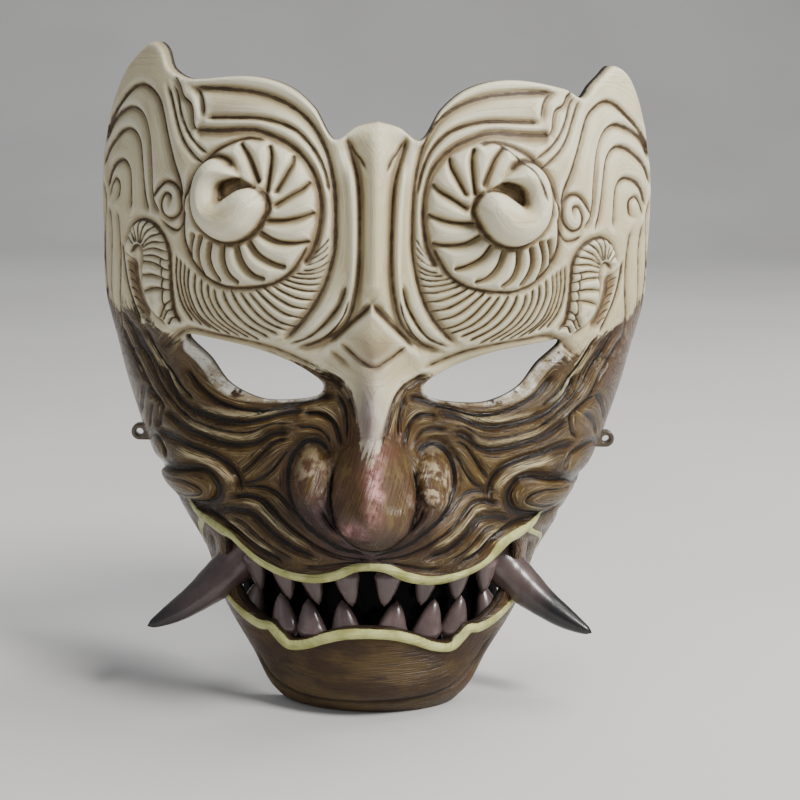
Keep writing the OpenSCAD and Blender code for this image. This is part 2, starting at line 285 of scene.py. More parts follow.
# ---- sculpting ----
class Relief:
    """Heights and paint layers over the face. Strokes are given in millimetres, seen from the front."""

    LAYERS = ("ink", "wash", "gold_and_highlight", "lip", "pink", "plum", "silver", "rim", "bulb", "pearl")
    # step in the brushwork's numbers from one stroke to the next, so that no two look alike
    APART = 13.0

    def __init__(self, x, z):
        self.raised = np.zeros(x.size)
        self.cut = np.zeros(x.size)
        self.layer = {name: np.zeros(x.size) for name in self.LAYERS}
        flat_x, flat_z = x.ravel(), z.ravel()
        # the right half is carved a little nearer the middle, and its ear a little lower
        right = flat_x > 0
        inward = 3.5 * fade(6, 20, flat_x) * (1 - fade(84, 100, flat_x)) * fade(-22, 4, flat_z)
        cheek = 6 * fade(24, 44, flat_x) * (1 - fade(70, 84, flat_x)) * (1 - fade(-18, 0, flat_z))
        cheek = cheek * fade(-60, -48, flat_z)
        drop = 3.5 * fade(56, 76, flat_x) * fade(4, 50, flat_z)
        self.pair = np.stack([abs(flat_x) + right * (inward + cheek), flat_z + right * drop], -1)
        self.whole = np.stack([flat_x, flat_z], -1)
        self.right = right
        # the run of the brushwork: distance across and along the nearest stroke
        self.nearest = np.full(x.size, FAR)
        self.layer["across"], self.layer["along"] = flat_z.copy(), flat_x.copy()
        self.strokes = 0

    def at(self, path, reach, side):
        """The places near a path. side is 0 for both halves, -1 or 1 for one, None for the whole face."""
        spots = self.whole if side is None else self.pair
        low, high = path.min(0) - reach, path.max(0) + reach
        near = ((spots > low) & (spots < high)).all(1)
        if side:
            near &= self.right == (side > 0)
        found = np.flatnonzero(near)
        return found, spots[found]

    def paint(self, name, found, amount):
        """Brings a layer up to an amount, where it is below it."""
        self.layer[name][found] = np.maximum(self.layer[name][found], amount)

    def groove(self, points, width=0.8, depth=1.3, roll=0.7, ink=1.0, ends=4.0, lean=0.0, side=0,
               steps=6, wash=0.5):
        """Cut line with rounded shoulders. lean raises the ground on the stroke's left-hand side."""
        path = spline(points, steps)
        found, spots = self.at(path, 5 * width + 2, side)
        if not len(found):
            return
        gap, share, hand, _ = nearest(path, spots)
        length = np.hypot(*np.diff(path, axis=0).T).sum()
        self.strokes += 1
        closer = gap < self.nearest[found]
        own = found[closer]
        self.nearest[own] = gap[closer]
        self.layer["across"][own] = (gap * hand)[closer] + self.APART * self.strokes
        self.layer["along"][own] = share[closer] * length
        strength = np.clip(np.minimum(share, 1 - share) * length / ends + 0.25, 0, 1)
        sharp = np.exp(-(gap / width) ** 2)
        broad = np.exp(-(gap / (3 * width)) ** 2)
        self.cut[found] = np.maximum(self.cut[found], strength * (depth * sharp + roll * broad))
        if lean:
            step = np.tanh(hand * gap / (0.5 * width))
            self.raised[found] += lean * strength * step * np.exp(-(gap / (3.2 * width)) ** 2)
        self.paint("ink", found, ink * strength * np.exp(-(gap / (0.66 * width)) ** 2))
        self.paint("wash", found, wash * strength * np.exp(-(gap / (2.1 * width)) ** 2))

    def ridge(self, points, width, height, gold_and_highlight=0.0, side=0):
        """Raised rounded line that runs out over its last 5 mm."""
        path = spline(points)
        found, spots = self.at(path, 3 * width + 1, side)
        if not len(found):
            return
        gap, share, _, _ = nearest(path, spots)
        length = np.hypot(*np.diff(path, axis=0).T).sum()
        strength = np.clip(np.minimum(share, 1 - share) * length / 5.0, 0, 1)
        bead = strength * np.exp(-(gap / width) ** 2)
        self.raised[found] += height * bead
        # the bright paint on a ridge's top is part gold paint and part painted highlight
        if gold_and_highlight:
            self.paint("gold_and_highlight", found, gold_and_highlight * bead)

    def band(self, points, widths, height, layer):
        """Painted band, raised as a flat bead. widths runs from its first end to its last."""
        soft = 0.5
        path = spline(points, 8)
        found, spots = self.at(path, max(widths) + 2, 0)
        gap, share, _, _ = nearest(path, spots)
        half = np.interp(share, np.linspace(0, 1, len(widths)), widths) / 2
        inner = 1 - fade(half - soft, half + soft, gap)
        self.paint(layer, found, inner)
        self.raised[found] += height * (1 - fade(half * 0.4, half + 1.0, gap))

    def plate(self, points, height, edge, layer=None, amount=1.0):
        """Raises, sinks or paints what a closed outline holds."""
        path = spline(points, closed=True)
        found, spots = self.at(path, edge + 1, 0)
        gap, _, _, _ = nearest(path, spots)
        gap = np.where(inside(path, spots), gap, -gap)
        self.raised[found] += height * fade(-edge / 2, edge / 2, gap)
        if layer:
            self.paint(layer, found, amount * fade(-edge / 2, edge / 2, gap))

    def pillow(self, points, height, reach):
        """Puffed body in a closed outline: steep at its edge, level where it is reach or more inside."""
        path = spline(points, closed=True)
        found, spots = self.at(path, 1, 0)
        gap, _, _, _ = nearest(path, spots)
        rise = 1 - (1 - np.clip(gap / reach, 0, 1)) ** 2
        self.raised[found] += height * rise ** 0.5 * inside(path, spots)

    def fine_lines(self, points, offsets):
        """Thin cuts that run beside a stroke at the given distances."""
        path = spline(points, 3)
        step = np.gradient(path, axis=0)
        across = np.stack([-step[:, 1], step[:, 0]], -1) / np.hypot(*step.T)[:, None]
        for offset in offsets:
            self.groove(path + across * offset, 0.45, 0.6, roll=0.3, ink=0.75, ends=9.0, steps=1, wash=0.3)

    def dome(self, cx, cz, rx, rz, height, side=0, round_off=0.5, brushed=False):
        """Ball-like swelling, steep at its foot where round_off is small, brushed on a slant."""
        box = np.array([(cx - rx, cz - rz), (cx + rx, cz + rz)], float)
        found, spots = self.at(box, 0.5, side)
        square = ((spots - (cx, cz)) / (rx, rz)) ** 2
        inner = np.clip(1 - square.sum(1), 0, 1)
        self.raised[found] += height * inner ** round_off
        if brushed:
            own = found[inner > 0.03]
            self.nearest[own] = 0
            self.layer["across"][own] = self.whole[own, 0] - 0.35 * self.whole[own, 1]
            self.layer["along"][own] = self.whole[own, 1]

    def swell(self, cx, cz, rx, rz, height, side=0, layer=None, amount=1.0):
        """Soft swelling, or soft paint where the height is 0."""
        box = np.array([(cx - 2 * rx, cz - 2 * rz), (cx + 2 * rx, cz + 2 * rz)], float)
        found, spots = self.at(box, 1, side)
        form = np.exp(-(((spots - (cx, cz)) / (rx, rz)) ** 2).sum(1))
        self.raised[found] += height * form
        if layer:
            self.paint(layer, found, amount * form)


face = Relief(base_x, height_z)


def carve_ears():
    """Ripples of the ears and temples, and the small scrolls beside the brow bosses."""
    face.groove([(102, 79), (98, 88), (93, 95), (88.5, 99.5), (84, 101), (80, 99.5), (76.5, 96), (74.5, 91),
                 (72.5, 84), (69.5, 75), (67, 69), (65.5, 62)], 0.95, 1.5, lean=-0.5)
    face.groove([(101.5, 82), (98, 87), (93.5, 91), (88.5, 93), (84.5, 92), (81.5, 88.5), (79.5, 82),
                 (78.5, 73.5), (77.5, 62), (74, 57.5)], 1.0, 1.7, lean=-0.8)
    face.ridge([(81.5, 83), (80.4, 74), (79.5, 64)], 0.8, 0.7)
    face.groove([(102.5, 71), (99.5, 77), (95.5, 81.5), (92, 84.5), (88.5, 85.5), (85.5, 84), (83.5, 80),
                 (82.3, 71.5), (81, 62), (79, 57)], 0.9, 1.4, lean=-0.5)
    face.groove([(99.5, 63), (98, 68), (96.5, 71), (94, 73.5), (91, 74.5), (88.8, 73), (87.5, 69),
                 (87, 57)], 0.9, 1.3, lean=-0.4)
    face.groove([(98, 60), (97, 64.5), (94.8, 67.5), (92.8, 66), (93.2, 61.5), (95, 60)], 0.7, 1.1)
    face.groove([(102.5, 66), (101, 59), (102, 50), (102.5, 42), (102.3, 34), (101, 22)], 1.1, 1.2, ink=0.8)
    face.groove([(98.5, 58), (97.5, 48), (98, 38), (98.5, 26), (97.5, 14)], 0.9, 1.2, ink=0.7)
    face.groove([(94, 57), (93, 46), (93, 34), (94, 22), (94, 10)], 0.8, 1.1, ink=0.7)
    face.groove([(73, 101), (71.5, 97), (70, 92.5), (68.5, 88), (66.8, 84), (64.5, 80.5), (61, 77),
                 (57, 74)], 0.6, 1.3, roll=0.4)
    face.groove([(71, 101.5), (69.3, 97.5), (67.8, 92.5), (66.2, 88.5), (64, 84.5), (60.5, 80.8),
                 (55.5, 77.5)], 0.6, 1.3, roll=0.4)
    face.plate([(74.5, 60), (73.5, 65.5), (70.5, 67.5), (67.3, 66), (66, 62), (67, 58), (69.5, 56.3),
                (72.8, 57)], 0.9, 2.0)
    face.groove([(78, 61), (75.5, 65.5), (72.5, 68.3), (69.5, 68), (67, 65.5), (66, 61.5), (67, 58),
                 (70, 56.3), (72.8, 57.8), (73.5, 61.5), (72, 64.5), (70, 63.8), (69.8, 61)], 0.75, 1.5)
    face.groove([(74.5, 56), (71.5, 53.5), (67.5, 52.5), (65, 56), (64, 60)], 0.7, 1.0)
    face.dome(64, 62, 1.8, 3.2, 1.2)


def carve_frame():
    """The scrolled frame round each brow boss."""
    face.swell(50, 93, 17, 4.5, 0, 0, "wash", 0.7)
    face.groove([(63.5, 101), (61.5, 100.2), (49.5, 99.5), (38.5, 98), (28.5, 94), (21.5, 88), (16.8, 79.5),
                 (14, 68), (13.4, 54), (14, 46), (17.5, 35), (23.5, 25), (30.5, 17)], 1.2, 2.4, roll=1.4,
                lean=-0.4)
    face.groove([(58.5, 90), (49, 90.3), (38, 90), (28, 87), (21.5, 81), (17.5, 74), (15.3, 66)], 1.0, 1.8,
                roll=0.8)
    face.groove([(64, 101), (60.3, 97), (58.6, 90)], 0.9, 1.8, lean=-0.6)
    face.ridge([(65, 99.5), (62, 95), (60.3, 88.5)], 1.0, 1.0)
    face.groove([(70, 104), (68.5, 100.5), (67, 97), (63.8, 94), (62.7, 88), (61.3, 85.9)], 0.75, 1.6,
                lean=-0.6, ends=1.5)
    face.groove([(61.8, 85.9), (52, 86), (44, 86.5), (38, 85.7), (28.5, 81.5), (21.8, 74.5), (18.7, 66),
                 (18.4, 58), (20.5, 49), (24, 43)], 1.2, 2.7, roll=1.6, lean=-0.7, wash=0.9, ends=2)
    face.groove([(10.5, 84.5), (8.7, 79.5), (6, 70), (5.3, 56), (5.4, 42), (6.6, 32.5), (8.8, 25), (13, 20.3),
                 (19, 16.8), (26, 14.5)], 0.95, 2.2, roll=1.5, lean=0.8, wash=0.7, ink=0.85)
    face.ridge([(9.5, 77), (7.9, 66), (7.3, 52), (7.6, 40), (9, 31), (12, 24.5), (17, 20)], 1.2, 1.1)
    face.groove([(9.3, 37), (11.5, 30.5), (14.8, 25.7), (18.5, 21.5), (23, 18), (29, 15.7)], 0.9, 1.6,
                roll=0.7)
    face.groove([(8.2, 33), (10, 27), (13, 22.3), (17, 18.5), (22.5, 15.6)], 0.7, 1.2, roll=0.4)


def carve_pillar():
    """Pillar between the brows, with the rhombus at its foot."""
    face.swell(0, 80, 5, 12, 1.5, None)
    face.groove([(-9.5, 84), (-7.5, 80), (-5.2, 77.5), (-3, 74)], 0.7, 1.2, side=None)
    face.groove([(9, 84.5), (6.8, 80), (4.8, 77.5), (3, 73)], 0.7, 1.2, side=None)
    face.ridge([(-1, 89), (-0.6, 78), (-0.4, 60), (-0.6, 44), (-1, 32)], 3.4, 1.5, side=None)
    left_edge = [(-1, 31), (-4, 27.5), (-8, 24), (-12, 20), (-15.5, 16.5)]
    right_edge = [(-1, 31), (2, 27.5), (6, 23.5), (10, 19.5), (13.5, 15.5)]
    for edge, lean in ((left_edge, 0.9), (right_edge, -0.9)):
        face.groove(edge, 1.1, 2.2, side=None, lean=lean, wash=0.9)
    face.groove([(-11.5, 17.5), (-7.5, 14), (-4, 11.4), (0.3, 9.6), (4, 11.4), (7.5, 13.7), (11, 16.8)],
                0.75, 1.4, side=None, ink=0.85)
    face.groove([(-15, 14.5), (-11, 11.5), (-7.5, 8.6)], 0.7, 0.9, side=None, ink=0.6)
    face.swell(-0.7, 19, 7, 7, 1.6, None)
    face.swell(-0.5, 14.5, 11, 7.5, 0, None, "wash", 0.75)


STRANDS = [[(69.5, 45.5), (70, 38.5), (69.5, 31.5), (68, 26.5), (65.5, 21.5)],
           [(63.5, 41), (64.3, 33.5), (62.5, 27), (59.5, 22.5), (52, 17.5)],
           [(54.5, 34.5), (54, 30), (51.5, 25.5), (47, 21), (38.5, 16)],
           [(43, 34), (39.5, 30), (36, 26.3), (31.5, 23.3), (25, 21.5)],
           [(34, 38), (29.5, 36), (25.5, 34.8), (22, 34.3), (17.5, 34.5)],
           [(25, 41), (22, 41.3), (19.5, 42), (17.3, 43), (14.8, 45)],
           [(19.8, 48), (18.3, 49.8), (17, 51.6), (15.8, 53.4), (14.8, 55.5)]]
PETALS = [[(46, 82.5), (42.8, 78.5), (40.6, 74), (38.5, 69)],
          [(36, 82), (35, 78.5), (35.2, 73.5), (36.2, 66)],
          [(27.5, 79), (28, 75.8), (29.8, 72.5), (33.5, 66)],
          [(21.5, 70.5), (24.3, 67.8), (28, 65.7), (34, 62)],
          [(19.8, 60.5), (25, 58.6), (30.5, 57.6), (36.5, 57.6)],
          [(21.5, 51), (27, 50.3), (33, 51), (38.5, 54)],
          [(29, 42.3), (33.5, 43.5), (38.5, 46.3), (42, 51)],
          [(36, 38), (40.5, 39.5), (44, 43.5), (46, 49.5)],
          [(45, 36), (48.7, 39), (50.5, 43.5), (50.5, 49.5)],
          [(51.5, 36), (54.3, 40), (55.6, 44.5), (54.8, 50)],
          [(57.5, 37.5), (59.3, 42), (59.6, 46.5), (58, 52)],
          [(62.5, 43), (62.3, 47.5), (61, 52.5)]]
FAN = [(57, 76.5), (52, 80.5), (44, 83.6), (36, 83), (28, 79.7), (22, 71.5), (19.6, 60), (22, 50.5),
       (27, 41.8), (33, 37), (41, 35), (50, 34.6), (57, 37.3), (62, 42.5), (65, 50), (64.5, 62), (61.5, 71)]
COMMA = [(51.5, 63.5), (52, 67), (50, 69.5), (46, 71), (44.3, 70.3), (46.5, 73.7), (49.5, 76.5),
         (53.5, 77.5), (57.5, 75.5), (60.3, 70.5), (61.2, 63.5), (59.8, 57), (56, 52.3), (51, 49.8),
         (45.5, 50), (40.5, 52.8), (37, 57.5), (35.3, 62), (36.6, 65.7), (39.5, 68), (43, 68.2), (46, 67),
         (49, 65)]
NOTCH = [(51.5, 63.8), (52, 67), (50, 69.6), (46.5, 71.2), (43.5, 70.3), (41.5, 68.4), (44, 68), (47, 66.5),
         (49.5, 64.5)]


def carve_bosses():
    """Comma-shaped bosses with a hooked notch, each in a fan of petals."""
    face.plate(FAN, 1.4, 5.0)
    for petal in PETALS:
        face.groove(petal, 0.65, 1.7, roll=1.9, lean=0.5, ends=1.2, wash=0.7)
    face.groove(FAN[7:] + FAN[:4], 0.85, 1.5, roll=1.2, wash=0.7)
    face.pillow(COMMA, 7.4, 9.5)
    face.groove(COMMA[5:20], 0.95, 2.0, roll=0.9, wash=0.8)
    face.plate(NOTCH, -1.6, 1.3, layer="ink", amount=0.45)
    face.plate(NOTCH, 0, 1.3, layer="wash", amount=1.0)
    face.groove([(44.4, 70.6), (49.8, 69.6), (51.8, 66.8), (51.4, 63.6), (48.5, 65.3), (45.5, 67.2),
                 (41.5, 68.2), (38.5, 67.5)], 0.6, 1.3, roll=0.6, ends=1.5)
    face.groove([(37.2, 66.3), (36, 68), (35.5, 71.5)], 0.7, 1.4)
    face.groove([(57.5, 64), (55.3, 70.5), (52, 76), (47.5, 80.5), (42, 83.6), (37.5, 82)], 0.7, 0.7, side=1)


def carve_strands():
    """Overlapping locks under the fan, between the guide strokes."""
    per_guide = 4
    for k in range(1, per_guide * (len(STRANDS) - 1)):
        face.groove(between(STRANDS, k / per_guide), 0.52, 1.2, roll=0.7, lean=0.3, ends=2.5)
    face.groove([(74, 44), (73, 36), (73, 28), (72, 22)], 0.6, 1.0)


ROPE_OUT = [(89, 44), (87, 51), (82.5, 54.5), (77.5, 54), (73.5, 50.5), (71, 45), (70.6, 38), (70.4, 30),
            (69.5, 23.5), (66, 19.5)]
ROPE_IN = [(86.5, 41.5), (85.3, 44.5), (83.4, 45.4), (81.8, 43.5), (81.6, 40), (82, 36), (81.6, 31),
           (80.4, 26.5), (77.6, 22), (71.5, 18)]


def carve_ropes():
    """Twisted cord that hooks round the temple, and the hollow that it holds."""
    face.plate(ROPE_OUT + ROPE_IN[::-1], 2.0, 3.0)
    face.groove(ROPE_OUT, 0.9, 1.5, roll=1.0)
    face.groove(ROPE_IN, 0.8, 1.6, roll=0.8)
    outer, inner = spline(ROPE_OUT), spline(ROPE_IN)
    turns = 17
    for k in range(1, turns):
        a = along(outer, k / turns)[0]
        b = inner[np.argmin(np.hypot(*(inner - a).T))] + (0, 0.8)
        middle = (a + b) / 2 + (0.2, 1.1)
        face.groove([a, middle, b], 0.5, 1.5, roll=1.2, lean=0.35, ends=0.8)
    face.groove([(86.2, 41), (86.5, 36), (85.3, 30), (83.3, 24.5), (80, 20)], 1.9, 3.2, ink=0.7, wash=1.4)
    face.groove([(91.5, 46), (91, 39), (89.5, 31), (87, 24), (83.5, 17)], 0.8, 1.2)
    for k in range(7):
        z = 41 - 3.1 * k
        x = 89.6 - 0.096 * k * k
        face.groove([(x, z + 1.5), (x - 1.8, z), (x - 3.4, z - 1.8)], 0.5, 1.0, roll=0.3, ends=1)
    for k in range(3):
        lock = [(x - 2.6 * k, z - 2 * k) for x, z in ((92, 20), (88, 13), (83.5, 7), (80, 1))]
        face.groove(lock, 0.7, 1.3)


def carve_eyes():
    """Bevelled sockets and their lids."""
    face.groove([(67, 3.5), (62.5, -1.5), (58.5, -4.5), (53, -7), (45.5, -8.4), (36, -7.8), (27, -5.2),
                 (20, -3), (13, -1)], 1.0, 1.6, roll=0.8)
    face.groove([(75, 9), (69.5, 15), (64, 18.2), (54, 17.2), (44, 15.8), (34, 13.6), (26, 10.5),
                 (20, 8)], 0.9, 1.2, ink=0.7)


UNDER_EYE = [(76, 3), (73, -3), (70.3, -7.5), (66.5, -10.3), (61, -11.6), (54, -12.6), (46, -12.9),
             (38.5, -11), (31.5, -8.5), (24, -7)]
TEMPLE_FOLD = [(90, 16), (86.5, 9), (82, 3.5), (78.5, -2), (75, -6.5), (70, -11.5), (63, -15)]
MID_FOLD = [(76, -14), (70.5, -16.8), (65, -18.5), (59, -19.6), (53, -20.5), (46, -20.6), (40, -18.8),
            (34.5, -15.5), (29, -14)]
LOW_FOLD = [(79, -23), (72, -22.5), (66, -23.6), (60, -24.4), (54, -26), (49.5, -28.5), (46.8, -32),
            (46, -37)]
NOSE_FOLD = [(47, -31), (42, -26.5), (37.5, -21.5), (33.5, -18), (28.5, -16)]


def carve_cheeks():
    """Deep folds that sweep from the temples under the eyes to the nose, in both halves."""
    deep = dict(width=1.05, depth=2.4, roll=1.7, lean=0.7)
    plain = dict(width=0.75, depth=1.5, roll=1.1)
    face.groove([(83, 16), (79, 9.5), (75.5, 4.5), (72, 0.5), (68.5, -4), (63, -8)], **plain)
    face.ridge([(82, 13.5), (77, 6), (73.5, 1.5), (70.5, -3), (66.5, -7)], 1.1, 1.2, gold_and_highlight=0.8)
    face.groove(UNDER_EYE, **deep)
    face.ridge([(62, -9.6), (54, -10.2), (46, -10.4), (38, -9), (30, -6.6)], 1.0, 1.1, gold_and_highlight=0.9)
    face.groove(TEMPLE_FOLD, **plain)
    face.groove([(94, 14), (90, 6), (86, 0), (82.5, -5.5), (79, -10), (74.5, -14)], **plain)
    face.groove(MID_FOLD, **deep)
    face.ridge([(68, -15.3), (60, -17), (52, -18), (44, -18), (37, -15)], 1.1, 1.0, gold_and_highlight=0.8)
    face.groove(LOW_FOLD, **deep)
    face.ridge([(70, -25), (62, -26.5), (56, -28), (51, -31), (49, -34.5)], 1.3, 1.2, gold_and_highlight=0.8)
    face.groove([(70, -12.8), (60, -15.2), (50, -16.3), (42, -15.4), (35, -12.2), (28, -11)], 0.6, 0.9,
                roll=0.5)
    face.groove([(84, -7), (80, -9), (77, -12), (77.5, -17), (79, -22)], **plain)
    face.groove([(87.5, -20), (86.5, -14), (85, -9), (82.5, -5.5)], **plain)
    face.groove([(83, -24), (82.3, -18.5), (81, -14), (79, -11.5)], 0.7, 1.1)
    face.groove([(85, -30), (83, -26), (79.5, -24.5), (76, -27), (74.5, -31)], **plain)
    face.groove([(91, 4), (88, 6.5), (84.5, 6.5)], 0.7, 1.0)
    face.dome(67.5, -39.5, 12.5, 8.5, 3.6, round_off=0.7)
    face.groove([(81, -42), (77, -36), (73, -33.8), (69, -33), (65, -31.7), (61, -30.8), (57.5, -31.5),
                 (54.8, -34.5), (54, -38), (56, -42), (62, -44.8), (69, -47), (74.5, -47.5)], **deep)
    face.groove([(77, -38), (71, -36.8), (65, -36), (60, -37.5), (59, -40), (64, -42.5), (70, -43.5)], 0.7,
                1.0, roll=0.5)
    face.groove(NOSE_FOLD, **plain)
    face.groove([(46.5, -34), (42, -32.7), (38, -30.7), (34.3, -27.2), (30.5, -22.3), (27.5, -19.3)], **plain)
    for stroke, offsets in ((UNDER_EYE, (-2.0, 1.9)), (MID_FOLD, (-1.9, 2.0)), (TEMPLE_FOLD, (-1.8, 1.8)),
                            (LOW_FOLD, (-1.9,)), (NOSE_FOLD, (1.8, -1.6))):
        face.fine_lines(stroke, offsets)
    face.groove([(88, -28), (83, -36), (80, -45), (75, -53)], 0.7, 1.1, ink=0.7)
    face.groove([(84.5, -34), (80, -41), (77, -49), (72, -56)], 0.6, 1.0, ink=0.7)
    face.groove([(78, -48), (74, -54), (70, -60), (66, -66)], 0.6, 1.0, ink=0.7)


def carve_muzzle():
    """Grooves between the nose and the upper lip, and the smile folds."""
    plain = dict(width=0.75, depth=1.6, roll=1.2, lean=0.4)
    face.groove([(46, -35), (41, -34.2), (36.5, -34.2), (32, -35.8), (28.5, -38.8), (24, -41.8),
                 (18.5, -45.2), (13, -48.5), (7, -51.5), (0, -52.5)], **plain)
    face.groove([(50, -39.5), (44, -37.8), (38.5, -38.2), (34.8, -40.6), (31, -43.7), (26.5, -46.5),
                 (22, -49), (16.5, -51.8), (10, -53.8), (0, -54.6)], **plain)
    face.ridge([(45, -39.6), (39.5, -40.2), (35.5, -42.6), (31, -45.8), (26, -48.8), (21, -51)], 0.9, 0.9,
               gold_and_highlight=0.9)
    face.groove([(56, -46.5), (51, -44.2), (46.5, -43.4), (42, -43.6), (38.3, -46), (34.5, -48.6), (30, -51),
                 (25, -53.2), (19, -55)], width=1.2, depth=2.1, roll=1.3, lean=0.5)
    face.groove([(63, -47.5), (57, -47.2), (52.5, -48.6), (48, -50.6), (44, -52.6), (40, -54.8), (35, -57),
                 (30, -58.8)], **plain)
    face.groove([(50, -46.5), (45, -47), (40.5, -49.8), (36, -52.6), (31, -55), (26, -57)], 0.7, 1.1,
                roll=0.6)
    face.groove([(24, -59), (18, -58.6), (12, -57), (6, -55.6), (0, -55.8)], 0.7, 1.1, roll=0.6)
    face.ridge([(54, -49.3), (48, -48.7), (43, -51.2), (38, -53.7), (33, -55.8)], 0.8, 0.8, gold_and_highlight=0.9)


def carve_nose():
    """Bridge, bulb and wings of the nose, and the paint on them."""
    face.ridge([(0, 6), (-0.4, -4), (-0.3, -14), (0.3, -22)], 3.2, 1.5, side=None)
    face.groove([(-19, 6.5), (-14.5, 5), (-11, 3), (-8.5, 0), (-6.6, -3.5), (-5.4, -8)], 1.0, 2.0, roll=0.9,
                side=None, lean=0.6)
    face.groove([(19, 6), (13.5, 4), (9.5, 1.5), (7, -2), (5.3, -6.5), (3.7, -12), (3, -15.5)], 1.0, 2.0,
                roll=0.9, side=None, lean=-0.6)
    face.ridge([(8.7, -2.5), (7, -7.5), (5.6, -12.5), (4.8, -16)], 0.9, 1.2, gold_and_highlight=1.0, side=None)
    face.groove([(12.5, 0), (9.8, -4), (8.7, -9.5), (8.8, -15)], 0.9, 1.5)
    face.groove([(25, -8), (18.5, -7.2), (13.8, -9.2), (11.5, -13.5), (10.3, -18)], 0.95, 1.6, roll=1.0)
    face.ridge([(22.5, -6.2), (17.5, -5.6), (14, -7), (11.5, -11)], 0.9, 0.9, gold_and_highlight=0.8)
    face.groove([(27, -12.5), (21, -12), (16.5, -13.5), (13.5, -18)], 0.7, 1.1)
    face.groove([(-11, -19.5), (-13.4, -26), (-13.9, -34), (-11.6, -42), (-6, -48.2), (1.5, -50.6),
                 (8.5, -48.2), (13.2, -41.5), (15.2, -33), (14.4, -26), (11.4, -19)], 1.1, 2.2, roll=0.8,
                side=None, ends=12)
    wings = ((-20.8, -1), (21, 1))
    for cx, hand in wings:
        rim = [(cx + hand * x, z) for x, z in ((2, -30), (-1.5, -37), (-6.5, -42.5), (-12, -46.5))]
        face.ridge(rim, 2.6, 2.6, side=None)
    left_fold = [(-14.2, -21), (-16, -18.3), (-19.5, -16.3), (-24, -17.8), (-27.8, -22.8), (-29.2, -29.5),
                 (-28, -36), (-24, -42), (-18, -47), (-10.5, -50.6), (-2, -52)]
    right_fold = [(14.6, -20.5), (17, -18), (21, -17), (25, -19.3), (28, -24.5), (28.8, -30), (27.3, -35.5),
                  (24.5, -40), (18, -45.6), (11.5, -49.8), (3, -52)]
    for fold in (left_fold, right_fold):
        face.groove(fold, 1.75, 2.9, roll=1.4, side=None, wash=0.9)
    face.dome(0.6, -32.5, 14.6, 20.5, 4.5, None, 0.55, True)
    face.dome(0.6, -38, 12, 11.5, 2.2, None, 0.8)
    for cx, _ in wings:
        face.dome(cx, -26.5, 6.2, 8.2, 4.2, None, 0.6, True)
    face.groove([(-17, -35), (-14.5, -39.5), (-10.5, -44.3), (-6, -47.8)], 0.8, 1.2, side=None)
    face.groove([(17.5, -34), (16, -38.5), (12.5, -43.3), (8.5, -47)], 0.8, 1.2, side=None)
    # The pearl patches put cream on the nose wings: part mottled paint, part painted highlight, stronger on
    # the right wing.
    patches = ((0.6, -32, 17, 23, "bulb", 1.6), (-20.8, -26.5, 8, 10, "bulb", 1.2),
               (21, -26.5, 8, 10, "bulb", 1.2), (-19.5, -27, 5.5, 8, "pearl", 0.9),
               (21, -29, 6.5, 9, "pearl", 1.5), (1.2, -25, 2.6, 14, "pink", 1.1),
               (-5.5, -42, 4.4, 3.8, "pink", 1.5), (-17, -39, 9, 8, "plum", 1.3),
               (-1, -49, 15, 7.5, "plum", 1.6), (16, -42, 6, 8, "plum", 0.9),
               (-1.5, -6, 5, 15, "silver", 1.0))
    for cx, cz, rx, rz, layer, amount in patches:
        face.swell(cx, cz, rx, rz, 0, None, layer, amount)


def carve_mouth():
    """Painted lips with their corner folds, and the jaw."""
    face.band([(0, -57), (6, -57.8), (12, -61), (20, -63.2), (28, -63), (35, -61.4), (42, -58), (49, -53.6),
               (56, -51.2), (61, -49.8), (66, -47.6), (69, -46)],
              (3.4, 3.4, 3.6, 3.8, 3.6, 3.2, 3.0, 3.4, 3.4, 3.2, 1.8, 0.6), 1.5, "lip")
    face.band([(60.5, -52.5), (61.8, -58), (61.5, -66)], (2.4, 2.0, 0.8), 0.6, "lip")
    face.band([(0, -81.7), (8, -82.3), (15, -84.3), (22, -87.4), (28, -88.6), (31.8, -85.6), (34.5, -83.2),
               (38, -83.8), (43, -82.6), (48, -80), (52.5, -77.2)], (3.4, 3.4, 3.4, 3.2, 3.0, 3.0, 2.0),
              1.5, "lip")
    face.groove([(58, -56), (57.5, -62), (57.5, -70), (54, -77)], 0.8, 1.2, ink=0.8)
    face.groove([(66, -54), (63, -60), (61, -66), (58.5, -73)], 0.6, 0.9, ink=0.8)
    face.groove([(-41, -96), (-36, -103), (-29, -106.6), (-20, -108), (-8, -107.6), (4, -107), (14, -106.6),
                 (24, -106), (32, -103.5), (39, -96.5), (43, -90)], 0.8, 1.3, roll=0.4, side=None, ink=0.9)


for carve in (carve_ears, carve_frame, carve_pillar, carve_bosses, carve_strands, carve_ropes, carve_eyes,
              carve_cheeks, carve_muzzle, carve_nose, carve_mouth):
    carve()


def boxed(grid, radius):
    """Mean over a square window, twice, edges repeated."""
    for _ in range(2):
        for axis in (0, 1):
            pad = [(0, 0), (0, 0)]
            pad[axis] = (radius + 1, radius)
            total = np.cumsum(np.pad(grid, pad, mode="edge"), axis)
            size = grid.shape[axis]
            high = np.take(total, np.arange(2 * radius + 1, 2 * radius + 1 + size), axis)
            low = np.take(total, np.arange(size), axis)
            grid = (high - low) / (2 * radius + 1)
    return grid


def bevel(name, reach, drop, weight):
    """Slope that leads down into a hole, where weight says: its depth, its places and how near each is."""
    outline = outlines[name]
    spots = face.whole
    low, high = outline.min(0) - reach, outline.max(0) + reach
    found = np.flatnonzero(((spots > low) & (spots < high)).all(1))
    gap, _, _, _ = nearest(outline, spots[found])
    down = np.zeros(spots.shape[0])
    slope = np.clip(1 - gap / reach, 0, 1)
    down[found] = drop * slope ** 1.3 * weight(spots[found])
    return down.reshape(base_x.shape), found, slope


